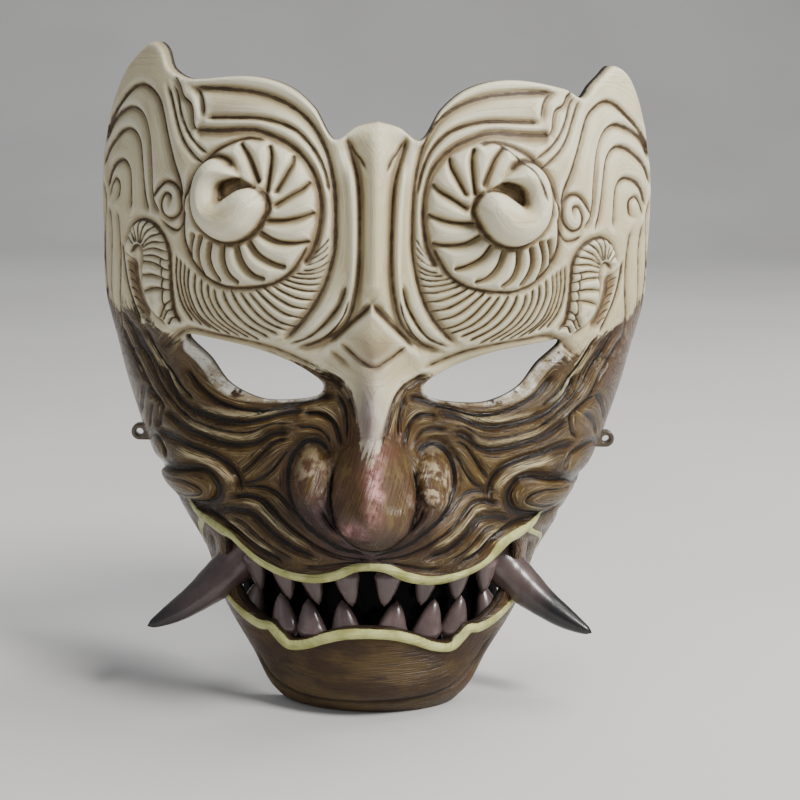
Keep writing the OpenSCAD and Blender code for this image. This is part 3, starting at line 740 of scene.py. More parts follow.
def face_height():
    """Height of the sculpted skin over the plain one, with bevelled holes and rounded outer edges."""
    total = (face.raised - face.cut).reshape(base_x.shape)
    total = boxed(total, 1) * 0.5 + total * 0.5
    # the deepest cuts level out before they reach the lining
    levelled = -CUT_LIMIT - CUT_EASE * np.tanh((-CUT_LIMIT - total) / CUT_EASE)
    total = np.where(total < -CUT_LIMIT, levelled, total)
    for hand, name in ((-1, "eye_left"), (1, "eye_right")):
        def weight(spots, hand=hand):
            outer = fade(20, 60, hand * spots[:, 0])
            return 0.25 + 0.75 * outer * (1 - fade(0, 14, spots[:, 1]))
        down, found, slope = bevel(name, EYE_BEVEL, EYE_DROP, weight)
        spots = face.whole[found]
        reach = 0.7 + 2.9 * fade(34, 56, hand * spots[:, 0]) * (1 - fade(9, 15, spots[:, 1]))
        below = 1 - fade(0, 6, spots[:, 1] - 0.25 * (hand * spots[:, 0] - 18))
        gap = (1 - slope) * EYE_BEVEL
        face.layer["rim"][found] = (1 - fade(reach - 0.4, reach + 0.4, gap)) * (slope > 0) * below
        total = total - down
    down, _, _ = bevel("mouth", MOUTH_BEVEL, MOUTH_DROP, lambda spots: np.ones(len(spots)))
    total = total - down
    rows = np.arange(ROWS + 1)[:, None] * CELL_Z
    columns = np.arange(COLUMNS + 1)[None] * CELL_X
    from_edge = np.minimum(np.minimum(rows, rows.max() - rows), np.minimum(columns, columns.max() - columns))
    t = np.clip(1 - from_edge / EDGE_ROUND, 0, 1)
    total = total * fade(0, 3, from_edge) - EDGE_ROUND * 0.8 * (1 - np.sqrt(1 - t * t))
    return total


height = face_height()
curve = height - boxed(height, 4)
broad_curve = height - boxed(height, 16)


def paint_border(x, z):
    """How far a place lies above the border of the ivory paint: temples, eye tops, sides of the bridge."""
    border = [(0, -16), (3.5, -15.5), (4.6, -9), (7, -1), (11, 3.5), (18, 6), (26, 7), (45, 10), (66, 11.5),
              (73, 11.5), (80, 16), (90, 21), (104, 23)]
    across, level = np.array(border, float).T
    return z - np.interp(abs(x), across, level)


face.layer["ivory"] = np.clip(0.5 + paint_border(base_x, height_z) / 20, 0, 1).ravel()
# Painted light from the relief's curvature: the next two layers darken the broad recesses and the small
# hollows as painted shade, and the third lightens the crests as painted highlight.
face.layer["dusk"] = fade(0.1, 1.7, -broad_curve).ravel()
face.layer["hollow"] = fade(0.02, 0.5, -curve).ravel()
face.layer["crest"] = fade(0.04, 0.5, curve).ravel()
face.layer["jaw"] = 1 - fade(-84, -80, height_z + 0.09 * abs(base_x)).ravel()


# ---- meshes ----
def make_object(name, points, faces, layers=None):
    """Smooth-shaded mesh object from points in millimetres and faces as lists of corner numbers."""
    mesh = bpy.data.meshes.new(name)
    points = np.asarray(points, np.float32) * MM
    groups = [np.asarray(f, np.int32) for f in faces if len(f)]
    sizes = np.concatenate([np.full(len(g), g.shape[1], np.int32) for g in groups])
    corners = np.concatenate([g.ravel() for g in groups])
    mesh.vertices.add(len(points))
    mesh.vertices.foreach_set("co", points.ravel())
    mesh.loops.add(len(corners))
    mesh.loops.foreach_set("vertex_index", corners)
    mesh.polygons.add(len(sizes))
    mesh.polygons.foreach_set("loop_start", np.r_[0, np.cumsum(sizes)[:-1]].astype(np.int32))
    mesh.polygons.foreach_set("loop_total", sizes)
    mesh.polygons.foreach_set("use_smooth", np.ones(len(sizes), bool))
    mesh.update(calc_edges=True)
    mesh.validate()
    for key, values in (layers or {}).items():
        slot = mesh.attributes.new(key, "FLOAT", "POINT")
        slot.data.foreach_set("value", np.asarray(values, np.float32))
    made = bpy.data.objects.new(name, mesh)
    bpy.context.scene.collection.objects.link(made)
    return made


def grid_faces(rows, columns, first=0, loop_columns=False):
    """Quads between the points of a grid, row by row."""
    across = columns if loop_columns else columns + 1
    j, i = np.meshgrid(np.arange(rows), np.arange(columns), indexing="ij")
    a = j * across + i
    b = j * across + (i + 1) % across
    return first + np.stack([a, b, b + across, a + across], -1).reshape(-1, 4)


def shell_mesh():
    """The face with its sculpted outside, a plainer inside and walls round every edge and hole."""
    lift = height * np.sqrt(np.clip(np.cos(turn * RIM_TURN), 0.03, 1)) ** 0.5
    outer_y = np.minimum(base_y + lift * base_out[..., 1], 0)
    outer = np.stack([base_x + lift * base_out[..., 0], outer_y, height_z], -1)
    back_turn, back_z = coarse[..., 0], coarse[..., 1]
    x, y, _ = shell_point(back_turn, back_z, SHELL_T)
    # faint waves on the lining
    ripple = 0.12 * np.sin(x / 3.1 + 2 * np.sin(back_z / 9)) * np.sin(back_z / 2.3)
    inner = np.stack([x, np.minimum(y + ripple, 0), back_z], -1)
    across = COLUMNS + 1
    rows, columns = kept.shape
    fine_kept = np.repeat(np.repeat(kept, 2, 0), 2, 1).ravel()
    out_faces = grid_faces(ROWS, COLUMNS)[fine_kept]
    first = outer.shape[0] * outer.shape[1]
    in_faces = grid_faces(rows, columns, first)[kept.ravel()][:, ::-1]
    walls = []
    wall = np.pad(kept, 1)
    j, i = np.nonzero(kept)
    for dj, di, start, end in ((-1, 0, (0, 0), (0, 1)), (0, 1, (0, 1), (1, 1)),
                               (1, 0, (1, 1), (1, 0)), (0, -1, (1, 0), (0, 0))):
        open_side = ~wall[j + 1 + dj, i + 1 + di]
        a = np.stack([j + start[0], i + start[1]])[:, open_side]
        b = np.stack([j + end[0], i + end[1]])[:, open_side]
        fine_a, fine_b = 2 * a[0] * across + 2 * a[1], 2 * b[0] * across + 2 * b[1]
        middle = (a + b)[0] * across + (a + b)[1]
        back_a = first + a[0] * (columns + 1) + a[1]
        back_b = first + b[0] * (columns + 1) + b[1]
        walls.append(np.stack([fine_b, middle, fine_a, back_a, back_b], -1))
    points = np.vstack([outer.reshape(-1, 3), inner.reshape(-1, 3)])
    faces = [out_faces, in_faces, np.vstack(walls)]
    layers = {}
    for name, values in face.layer.items():
        layers[name] = np.r_[values, np.zeros(len(points) - first)]
    layers["inside"] = np.r_[np.zeros(first), np.ones(len(points) - first)]
    used = np.zeros(len(points), bool)
    for f in faces:
        used[f.ravel()] = True
    number = np.cumsum(used) - 1
    return points[used], [number[f] for f in faces], {k: v[used] for k, v in layers.items()}


LUG_X, LUG_Z, LUG_R, LUG_T, LUG_HOLE, LUG_ROOT = 89.5, -30.0, 3.2, 4.0, 1.4, 8.0


def lug_object(name, hand):
    """Strap lug: a flat tab set in the rim, with a drilled eye and eased edges."""
    around = 96
    angle = np.arange(around) * 2 * math.pi / around
    tip = np.stack([np.cos(angle), np.sin(angle)], -1)
    square = tip / abs(tip).max(1)[:, None] * (LUG_ROOT, LUG_R)
    shape = np.where(tip[:, :1] * hand > 0, tip * LUG_R, square)
    hole = tip * LUG_HOLE
    eased_hole, eased_edge = hole * 1.12, shape * 0.93
    rings = [(eased_hole, 0), (hole, -0.3), (hole, -LUG_T + 0.3), (eased_hole, -LUG_T),
             (eased_edge, -LUG_T), (shape, -LUG_T + 0.5), (shape, -0.5), (eased_edge, 0)]
    points = [np.stack([hand * LUG_X + r[:, 0], np.full(around, y), LUG_Z + r[:, 1]], -1) for r, y in rings]
    j, i = np.meshgrid(np.arange(len(rings)), np.arange(around), indexing="ij")
    a, b = j * around + i, j * around + (i + 1) % around
    c = ((j + 1) % len(rings)) * around
    quads = np.stack([a, c + i, c + (i + 1) % around, b], -1).reshape(-1, 4)
    return make_object(name + "_tab", np.vstack(points), [quads])


# ---- materials ----
def colour(red, green, blue):
    """Linear colour of an sRGB one given from 0 to 255."""
    parts = np.array([red, green, blue]) / 255
    linear = np.where(parts <= 0.04045, parts / 12.92, ((parts + 0.055) / 1.055) ** 2.4)
    return (*linear, 1.0)


class Paint:
    """Node material with short calls for the nodes it uses."""

    def __init__(self, name, roughness=0.5):
        self.material = bpy.data.materials.new(name)
        self.material.use_nodes = True
        self.tree = self.material.node_tree
        self.shader = self.tree.nodes["Principled BSDF"]
        self.shader.inputs["Roughness"].default_value = roughness
        self.place = self.node("ShaderNodeTexCoord").outputs["Object"]

    def node(self, kind, **settings):
        made = self.tree.nodes.new(kind)
        for key, value in settings.items():
            setattr(made, key, value)
        return made

    def put(self, socket, value):
        """Sets a socket's own value, or links it to another node's socket."""
        if isinstance(value, bpy.types.NodeSocket):
            self.tree.links.new(value, socket)
        else:
            socket.default_value = value

    def layer(self, name):
        """Value of a mesh layer."""
        return self.node("ShaderNodeAttribute", attribute_name=name).outputs["Fac"]

    def noise(self, scale, detail=4.0, rough=0.55, stretch=None, distortion=0.0, place=None):
        """Noise in the object's own space, or at another place."""
        place = place or self.place
        if stretch:
            mapping = self.node("ShaderNodeMapping")
            self.put(mapping.inputs["Vector"], place)
            mapping.inputs["Scale"].default_value = stretch
            place = mapping.outputs[0]
        made = self.node("ShaderNodeTexNoise")
        self.put(made.inputs["Vector"], place)
        settings = {"Scale": scale, "Detail": detail, "Roughness": rough, "Distortion": distortion}
        for socket, value in settings.items():
            made.inputs[socket].default_value = value
        return made.outputs["Fac"]

    def flow(self, scale, detail=3.0, stretch=0.05):
        """Noise drawn out along the carved strokes."""
        place = self.node("ShaderNodeCombineXYZ")
        self.put(place.inputs[0], self.layer("across"))
        self.put(place.inputs[1], self.math("MULTIPLY", self.layer("along"), stretch))
        return self.noise(scale, detail, 0.5, place=place.outputs[0])

    def math(self, operation, a, b):
        made = self.node("ShaderNodeMath", operation=operation)
        self.put(made.inputs[0], a)
        self.put(made.inputs[1], b)
        return made.outputs[0]

    def ramp(self, value, low, high, start=0.0, end=1.0):
        """start below low, end above high, smooth between."""
        made = self.node("ShaderNodeMapRange", interpolation_type="SMOOTHSTEP")
        self.put(made.inputs["Value"], value)
        for key, number in (("From Min", low), ("From Max", high), ("To Min", start), ("To Max", end)):
            made.inputs[key].default_value = number
        return made.outputs["Result"]

    def times(self, a, b):
        return self.math("MULTIPLY", a, b)

    def mix(self, share, a, b):
        """Colour between a and b, either of which may be an sRGB triple."""
        made = self.node("ShaderNodeMix", data_type="RGBA")
        self.put(made.inputs[0], share)
        for socket, tint in ((made.inputs[6], a), (made.inputs[7], b)):
            self.put(socket, colour(*tint) if isinstance(tint, tuple) else tint)
        return made.outputs[2]

    def coats(self, body, *coats):
        """Colour after each coat, a (share, colour) pair, has gone over the ones before it."""
        for share, tint in coats:
            body = self.mix(share, body, tint)
        return body

    def blend(self, share, a, b):
        """Number between a and b."""
        made = self.node("ShaderNodeMix", data_type="FLOAT")
        self.put(made.inputs[0], share)
        self.put(made.inputs[2], a)
        self.put(made.inputs[3], b)
        return made.outputs[0]

    def bump(self, height, strength, distance):
        made = self.node("ShaderNodeBump")
        made.inputs["Strength"].default_value = strength
        made.inputs["Distance"].default_value = distance
        self.put(made.inputs["Height"], height)
        self.put(self.shader.inputs["Normal"], made.outputs[0])


def ivory_paint(p):
    """Ivory, rubbed with brown that stays in the grooves, with painted shade in the recesses and a painted
    highlight on the crests.
    """
    ivory = p.mix(p.ramp(p.broad, 0.35, 0.65), (222, 212, 175), (208, 196, 156))
    groove = p.times(p.ramp(p.edge, 0.3, 0.8), p.ramp(p.streak, 0.25, 0.6, 0.75, 1.0))
    pearl = p.ramp(p.noise(130, 4, 0.6, (1, 1, 0.2)), 0.35, 0.65)
    return p.coats(ivory,
                   (p.ramp(p.patch, 0.52, 0.75, 0, 0.4), (172, 158, 128)),
                   (p.ramp(p.hair, 0.5, 0.68, 0, 0.45), (176, 160, 128)),
                   # painted shade in the broad recesses
                   (p.times(p.dusk, p.ramp(p.patch, 0.3, 0.7, 0.35, 0.75)), (150, 131, 100)),
                   (p.times(p.wash, p.ramp(p.patch, 0.3, 0.7, 0.6, 1.0)), (136, 113, 78)),
                   # painted shade in the small hollows, then a painted highlight on the crests
                   (p.times(p.hollow, 0.4), (118, 98, 68)),
                   (p.times(p.crest, 0.6), (238, 234, 210)),
                   (groove, (72, 55, 35)),
                   (p.layer("silver"), p.mix(pearl, (176, 172, 166), (132, 114, 110))))


def brown_paint(p):
    """Brown, brushed along the strokes with olive gold that is partly painted highlight on the ridges, with
    painted shade in the recesses, and with the colours of the nose.
    """
    brown = p.mix(p.ramp(p.patch, 0.4, 0.62), (88, 66, 36), (60, 42, 23))
    gold_and_highlight = p.times(p.layer("gold_and_highlight"), p.ramp(p.hair, 0.4, 0.56, 0.1, 0.95))
    rose = p.mix(p.ramp(p.noise(70, 5, 0.65), 0.4, 0.6), (100, 68, 52), (84, 62, 36))
    rose = p.mix(p.ramp(p.noise(240, 3, 0.6, (1, 1, 0.2)), 0.48, 0.64, 0, 0.75), rose, (112, 92, 54))
    pearl = p.times(p.layer("pearl"), p.ramp(p.noise(190, 4, 0.65), 0.47, 0.62))
    pink = p.mix(p.ramp(p.noise(260, 5, 0.7), 0.42, 0.56), (130, 84, 76), (202, 150, 148))
    plum = p.mix(p.ramp(p.patch, 0.35, 0.65), (84, 66, 64), (54, 40, 40))
    return p.coats(brown,
                   (p.ramp(p.broad, 0.54, 0.68, 0, 0.42), (86, 52, 38)),
                   (p.ramp(p.brush, 0.5, 0.62, 0, 0.5), (104, 84, 46)),
                   # tan on the crests: part dry-brushed paint, part painted highlight
                   (p.times(p.crest, p.ramp(p.hair, 0.44, 0.62, 0, 0.65)), (136, 116, 72)),
                   (p.ramp(p.hair, 0.61, 0.67, 0, 0.65), (172, 156, 114)),
                   # bright gold on the ridges: part gold paint, part painted highlight
                   (gold_and_highlight, (208, 194, 152)),
                   (p.ramp(p.flow(2.0, 4, 0.08), 0.44, 0.36, 0, 0.7), (40, 26, 15)),
                   # painted shade in the broad recesses and the small hollows
                   (p.times(p.dusk, 0.7), (44, 28, 17)),
                   (p.times(p.hollow, 0.45), (36, 23, 14)),
                   (p.layer("bulb"), rose),
                   # cream on the nose wings: part paint, part painted highlight
                   (pearl, (176, 160, 130)),
                   (p.times(p.layer("pink"), p.ramp(p.patch, 0.4, 0.56, 0.15, 0.95)), pink),
                   (p.times(p.layer("plum"), 0.9), plum),
                   (p.ramp(p.edge, 0.42, 0.8), (20, 13, 9)))


def jaw_paint(p):
    """Plainer brown of the jaw, streaked downwards."""
    jaw = p.mix(p.ramp(p.noise(34, 5, 0.65, (1, 1, 3)), 0.42, 0.6), (58, 40, 23), (82, 64, 34))
    return p.coats(jaw,
                   (p.ramp(p.noise(26, 4, 0.6), 0.5, 0.66, 0, 0.7), (74, 42, 28)),
                   (p.ramp(p.noise(60, 3, 0.5, (1, 1, 9)), 0.62, 0.68, 0, 0.8), (40, 26, 18)),
                   (p.ink, (24, 14, 9)))


def shell_material():
    """The whole painted shell: ivory above a ragged border, brown below, lips, eye rims and lining."""
    p = Paint("painted_shell")
    names = ("ink", "wash", "crest", "hollow", "dusk")
    p.ink, p.wash, p.crest, p.hollow, p.dusk = (p.layer(n) for n in names)
    p.edge = p.math("ADD", p.ink, p.ramp(p.noise(320, 3), 0.3, 0.7, -0.14, 0.14))
    p.broad, p.patch, p.streak = p.noise(14, 3), p.noise(55, 5), p.noise(60, 4, 0.6, (1, 1, 7))
    p.brush, p.hair = p.flow(0.9), p.flow(2.3, 4, 0.045)
    ragged = p.math("ADD", p.layer("ivory"), p.ramp(p.noise(38, 5, 0.7), 0.3, 0.7, -0.2, 0.2))
    ragged = p.math("ADD", ragged, p.ramp(p.brush, 0.3, 0.7, -0.12, 0.12))
    rim = p.mix(p.ramp(p.noise(120, 5, 0.65), 0.42, 0.6), (220, 216, 204), (158, 142, 112))
    lip = p.mix(p.ramp(p.noise(150, 3, 0.5), 0.35, 0.7), (206, 208, 140), (168, 166, 100))
    lip_share = p.math("ADD", p.layer("lip"), p.ramp(p.patch, 0.3, 0.7, -0.2, 0.2))
    lining = p.mix(p.ramp(p.streak, 0.35, 0.7), (46, 36, 30), (70, 56, 44))
    whole = p.coats(brown_paint(p),
                    (p.layer("jaw"), jaw_paint(p)),
                    (p.ramp(ragged, 0.42, 0.58), ivory_paint(p)),
                    (p.times(p.layer("rim"), p.ramp(p.noise(170, 4, 0.6), 0.34, 0.46)), rim),
                    (p.ramp(lip_share, 0.42, 0.6), lip),
                    (p.layer("inside"), lining))
    p.put(p.shader.inputs["Base Color"], whole)
    p.shader.inputs["Specular IOR Level"].default_value = 0.32
    above = p.ramp(ragged, 0.4, 0.6)
    dry = p.blend(above, 0.24, 0.48)
    dry = p.blend(p.layer("jaw"), dry, 0.4)
    dry = p.blend(p.layer("inside"), dry, 0.7)
    p.put(p.shader.inputs["Roughness"], p.math("ADD", dry, p.ramp(p.patch, 0.3, 0.7, -0.08, 0.1)))
    carved = p.times(p.math("ADD", p.hair, p.brush), p.blend(above, 3.0, 0.8))
    p.bump(p.math("ADD", carved, p.times(p.noise(420, 3, 0.6), 0.6)), 0.5, 0.0006)
    return p.material


def resin_material(name, base, deep, streak, roughness, tip, relief=0.25, gloss=0.5):
    """Glossy painted resin in two cloudy shades with fine streaks. The tip layer brings in its own colour."""
    p = Paint(name)
    cloud, line = p.noise(90, 4), p.noise(200, 4, 0.6, (1, 1, 0.15))
    body = p.coats(p.mix(p.ramp(cloud, 0.35, 0.65), base, deep),
                   (p.times(p.ramp(line, 0.5, 0.72), 0.45), streak),
                   (p.layer("tip"), tip))
    p.put(p.shader.inputs["Base Color"], body)
    p.put(p.shader.inputs["Roughness"], p.ramp(cloud, 0.3, 0.7, roughness - 0.07, roughness + 0.1))
    fixed = {"Specular IOR Level": gloss, "IOR": 1.0 + 0.9 * gloss, "Coat Weight": gloss,
             "Coat Roughness": 0.18}
    for socket, value in fixed.items():
        p.shader.inputs[socket].default_value = value
    p.bump(p.math("ADD", line, cloud), relief, 0.0008)
    return p.material


def felt_material():
    """Dark grey felt with a short nap."""
    p = Paint("grey_felt", 0.95)
    fibre = p.noise(900, 4, 0.7, None, 1.5)
    body = p.mix(p.ramp(fibre, 0.3, 0.7), (58, 56, 55), (96, 93, 90))
    p.put(p.shader.inputs["Base Color"], p.mix(p.ramp(p.noise(40, 3), 0.45, 0.7, 0, 0.5), body, (74, 70, 66)))
    p.shader.inputs["Sheen Weight"].default_value = 0.4
    p.shader.inputs["Sheen Roughness"].default_value = 0.6
    p.bump(fibre, 0.6, 0.0008)
    return p.material


# ---- teeth and tusks on their arch ----
ARCH_Y, ARCH_R = -24.0, 53.0
TOOTH_RINGS, TOOTH_SIDES = 30, 24
TUSK_RINGS, TUSK_SIDES = 60, 36


def arch_frame(turn_deg):
    """Outward and sideways directions on the arch at a turn."""
    t = math.radians(turn_deg)
    return np.array([math.sin(t), -math.cos(t), 0.0]), np.array([math.cos(t), math.sin(t), 0.0])


def swept(centre, side, front, radii, sides, flatten, ridge):
    """Closed tapering body: rings round centre points, then a pole at either end."""
    rings = len(centre)
    angle = np.arange(sides) * 2 * math.pi / sides
    swell = 1 + ridge * np.cos(angle * 2)
    sideways = np.cos(angle)[None, :, None] * side[:, None]
    forwards = flatten * np.sin(angle)[None, :, None] * front[:, None]
    ring = centre[:, None] + radii[:, None, None] * swell[None, :, None] * (sideways + forwards)
    points = np.vstack([ring.reshape(-1, 3), centre[:1], centre[-1:] + (centre[-1:] - centre[-2:-1]) * 0.35])
    faces = grid_faces(rings - 1, sides, 0, True)
    i = np.arange(sides)
    ends = np.vstack([np.stack([np.full(sides, rings * sides), (i + 1) % sides, i], -1),
                      np.stack([np.full(sides, rings * sides + 1), (rings - 1) * sides + i,
                                (rings - 1) * sides + (i + 1) % sides], -1)])
    return points, faces, ends


def tooth_object(name, turn_deg, shift, lean, width, grow, material):
    """Curved tooth from its gum to its tip, inside the height of its CAD node."""
    low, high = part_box(name)
    upper = name.startswith("upper")
    out, across = arch_frame(turn_deg)
    root_z, tip_z = (high.z / MM, low.z / MM) if upper else (low.z / MM, high.z / MM)
    u = np.linspace(0, 1, TOOTH_RINGS)
    root = np.array([0, ARCH_Y, 0]) + out * (ARCH_R + 0.3)
    root[0] += shift
    bow = (1.6 if upper else -2.2) * u ** 2
    centre = root + out * bow[:, None] + np.array([1.0, 0, 0]) * (lean * u ** 1.3)[:, None]
    centre[:, 2] = root_z + (tip_z - root_z) * u * grow
    taper = (1 - u ** 1.9) ** 0.75
    belly = 1 + 0.10 * np.sin(math.pi * np.clip(u * 2.2, 0, 1))
    radii = (0.58 if upper else 0.64) * width * taper * belly + 0.28
    # slimmer at the root, so that it stays behind the lips, and rounded at the tip
    radii *= 0.66 + 0.34 * fade(0, 0.3, u)
    radii[-3:] *= (0.92, 0.75, 0.45)
    side = np.tile(across, (len(u), 1))
    front = np.tile(out, (len(u), 1))
    points, faces, ends = swept(centre, side, front, radii, TOOTH_SIDES, 0.78, 0.04)
    share = np.r_[np.repeat(u, TOOTH_SIDES), 0, 1]
    tip = 0.55 * (1 - fade(0.0, 0.22, share)) + 0.25 * fade(0.6, 1.0, share)
    made = make_object(name + "_carved", points, [faces, ends], {"tip": tip})
    made.data.materials.append(material)
    return made


# turn on the arch in degrees, sideways shift, lean and width in millimetres, share of the CAD tooth's height
UPPER = [(-50, -1.2, 4.8, 7.6, 1.0), (-35, -1.0, 4.6, 7.6, 1.0), (-23, -1.2, 5.0, 7.4, 1.0),
         (-8, -1.6, 3.2, 7.4, 0.95), (8, -0.8, -2.0, 7.6, 0.93), (23, -0.5, -3.4, 7.6, 0.98),
         (35, 0.5, -2.2, 7.6, 0.95), (50, 0.3, -2.4, 8.2, 0.98)]
LOWER = [(-51, -0.6, 0.5, 8.6, 1.3), (-31, -1.2, -3.6, 7.8, 1.0), (-20, -1.2, -2.8, 7.8, 0.95),
         (-7, -1.0, -2.4, 7.8, 1.0), (7, 0.3, 2.6, 8.4, 1.0), (20, 0.8, 4.0, 7.8, 1.0),
         (31, 0.8, 4.6, 7.8, 1.0), (51, 0.6, -0.5, 8.6, 1.3)]

TUSK_TURN, TUSK_OUT, TUSK_Z = 62.0, 49.0, -62.0
TUSK_DROP, TUSK_BEND = math.radians(47), math.radians(30)
TUSK_LENGTH, TUSK_R = 47.0, 8.0


def tusk_object(name, hand, material):
    """Long tusk that swings out of the mouth's corner, as its CAD node does."""
    out, across = arch_frame(hand * TUSK_TURN)
    up = np.array([0, 0, 1.0])
    forward = out * math.cos(TUSK_DROP) - up * math.sin(TUSK_DROP)
    lift = out * math.sin(TUSK_DROP) + up * math.cos(TUSK_DROP)
    root = np.array([0, ARCH_Y, TUSK_Z]) + out * TUSK_OUT
    bend_r = TUSK_LENGTH / TUSK_BEND
    u = np.linspace(0, 1, TUSK_RINGS)
    a = u * TUSK_BEND
    centre = root + bend_r * (np.sin(a)[:, None] * forward + (1 - np.cos(a))[:, None] * lift)
    normal = np.cos(a)[:, None] * lift - np.sin(a)[:, None] * forward
    radii = 0.4 + (1.1 * TUSK_R - 0.4) * (1 - u) ** 0.6
    radii *= 1 + 0.012 * np.sin(u * 46) * (1 - u) + 0.02 * np.sin(u * 17 + 1)
    radii[:3] *= (0.8, 0.93, 0.98)
    radii[-2:] *= (0.8, 0.5)
    side = np.tile(across, (len(u), 1))
    points, faces, ends = swept(centre, side, normal, radii, TUSK_SIDES, 1.0, 0.03)
    share = np.r_[np.repeat(u, TUSK_SIDES), 0, 1]
    # the right tusk is black from nearer its root than the left
    tip = fade(0.38, 0.68 if hand > 0 else 1.0, share) * 0.97
    made = make_object(name + "_carved", points, [faces, ends], {"tip": tip})
    made.data.materials.append(material)
    return made


def closed_sheet(front, back):
    """Faces of a closed slab between two grids of points with the same shape."""
    rows, columns = front.shape[0] - 1, front.shape[1] - 1
    points = np.vstack([front.reshape(-1, 3), back.reshape(-1, 3)])
    layer = (rows + 1) * (columns + 1)
    number = np.arange(layer).reshape(rows + 1, columns + 1)
    border = np.concatenate([number[0, :-1], number[:-1, -1], number[-1, :0:-1], number[:0:-1, 0]])
    after = np.roll(border, -1)
    wall = np.stack([after, border, border + layer, after + layer], -1)
    return points, [grid_faces(rows, columns), grid_faces(rows, columns, layer)[:, ::-1], wall]


GUM_R, GUM_T, GUM_REACH = 49.0, 4.0, math.radians(72.5)
GUM_COLUMNS, GUM_ROWS = 260, 90
GUM_SWELL = 3.4
CORNER_FROM, CORNER_TO, CORNER_CUT = math.radians(62), math.radians(70), 0.24
UPPER_ROOT_Z, LOWER_ROOT_Z = -61.0, -87.0


def gum_object(material):
    """Black mouth plate, swollen round the roots of the teeth."""
    low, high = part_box("mouth_plate")
    t, z = np.meshgrid(np.linspace(-GUM_REACH, GUM_REACH, GUM_COLUMNS),
                       np.linspace(low.z / MM, high.z / MM, GUM_ROWS))
    rise = np.zeros(t.shape)
    for rows, root_z, way in ((UPPER, UPPER_ROOT_Z, -1), (LOWER, LOWER_ROOT_Z, 1)):
        for turn_deg, shift, _, width, _ in rows:
            arc = (t - math.radians(turn_deg)) * GUM_R - shift
            form = np.exp(-(arc / (0.62 * width)) ** 2) * (1 - fade(2, 9, (z - root_z) * way))
            rise = np.maximum(rise, GUM_SWELL * form)
    rise += 0.12 * np.sin(t * 41) * np.sin(z * 0.9)
    # eased top and bottom edges
    edge = np.minimum(z - z.min(), z.max() - z)
    rise -= 1.2 * (1 - fade(0, 1.5, edge)) - 0.3

    # the lower corners are cut away, clear of the jaw's rear edge
    z = z.max() - (z.max() - z) * (1 - CORNER_CUT * fade(CORNER_FROM, CORNER_TO, abs(t)))

    def place(r):
        return np.stack([r * np.sin(t), ARCH_Y - r * np.cos(t), z], -1)

    points, faces = closed_sheet(place(GUM_R - 0.4 + rise), place(np.full(t.shape, GUM_R - GUM_T)))
    made = make_object("mouth_plate_gums", points, faces, {"tip": np.zeros(len(points))})
    made.data.materials.append(material)
    return made


PAD_COLUMNS, PAD_ROWS = 120, 60


def pad_object(name, place, half_length, half_height, thick, material):
    """Crowned foam pad: a rounded cushion form, set in place by a function of its own coordinates."""
    around = np.linspace(-math.pi, math.pi, PAD_COLUMNS + 1)[:-1]
    u, v = np.meshgrid(around, np.linspace(-math.pi / 2, math.pi / 2, PAD_ROWS + 1))

    def power(value, exponent):
        return np.sign(value) * abs(value) ** exponent

    flat, crown, seam = 0.42, 0.62, 0.028
    s = half_length * power(np.cos(v), crown) * power(np.cos(u), flat)
    h = half_height * power(np.cos(v), crown) * power(np.sin(u), flat)
    n = power(np.sin(v), 0.8)
    pinch = 1 - seam * np.exp(-(v / 0.09) ** 2)
    points = place(s * pinch, h * pinch, n * thick / 2)
    rows, columns = u.shape
    points = points.reshape(-1, 3)
    i = np.arange(columns)
    body = grid_faces(rows - 3, columns, columns, True)
    ring = np.vstack([points[columns:-columns], points[:1], points[-1:]])
    body = body - columns
    last = (rows - 3) * columns
    count = (rows - 2) * columns
    caps = np.vstack([np.stack([np.full(columns, count), (i + 1) % columns, i], -1),
                      np.stack([np.full(columns, count + 1), last + i, last + (i + 1) % columns], -1)])
    made = make_object(name + "_felt", ring, [body, caps])
    made.data.materials.append(material)
    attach(made, "root")
    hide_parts(name)
    return made


def box_mm(name):
    """Low and high corners of a CAD node's box, in millimetres."""
    low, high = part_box(name)
    return np.array(low) / MM, np.array(high) / MM


def build_shell():
    """Painted shell with its two lugs."""
    made = make_object("mask_shell_painted", *shell_mesh())
    made.data.materials.append(shell_material())
    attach(made, "root")
    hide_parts("mask_shell")
    tab_paint = resin_material("tab_umber", (92, 80, 58), (70, 58, 42), (120, 106, 80), 0.4, (40, 30, 20),
                               0.1)
    for name, hand in (("strap_lug_left", -1), ("strap_lug_right", 1)):
        tab = lug_object(name, hand)
        tab.data.materials.append(tab_paint)
        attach(tab, "root")
        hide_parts(name)


def build_mouth():
    """Mouth plate, sixteen teeth and two tusks."""
    gum_paint = resin_material("gum_black", (9, 9, 12), (14, 12, 14), (22, 19, 20), 0.45, (10, 10, 12),
                               0.05, 0.06)
    tooth_paint = resin_material("tooth_mauve", (100, 82, 80), (80, 64, 62), (130, 110, 106), 0.3,
                                 (40, 30, 30))
    tusk_paint = resin_material("tusk_mauve", (94, 78, 75), (76, 61, 59), (108, 90, 86), 0.34, (14, 13, 15))
    pieces = [(gum_object(gum_paint), "mouth_plate", "mouth_black")]
    for prefix, rows in (("upper_tooth_", UPPER), ("lower_tooth_", LOWER)):
        for i, (turn_deg, shift, lean, width, grow) in enumerate(rows):
            name = prefix + str(i + 1)
            pieces.append((tooth_object(name, turn_deg, shift, lean, width, grow, tooth_paint), name,
                           "tooth_resin"))
    for name, hand in (("tusk_left", -1), ("tusk_right", 1)):
        pieces.append((tusk_object(name, hand, tusk_paint), name, "tusk_resin"))
    for piece, node, slot in pieces:
        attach(piece, "root")
        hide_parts(node)


# the pads' forms, close to those of their CAD nodes
FOREHEAD_PAD_R, FOREHEAD_PAD_T, FOREHEAD_PAD_TURN = 105.0, 10.0, math.radians(22)
CHEEK_PAD_HALF, CHEEK_PAD_T, CHEEK_PAD_LEAN = 12.6, 8.0, math.radians(42)


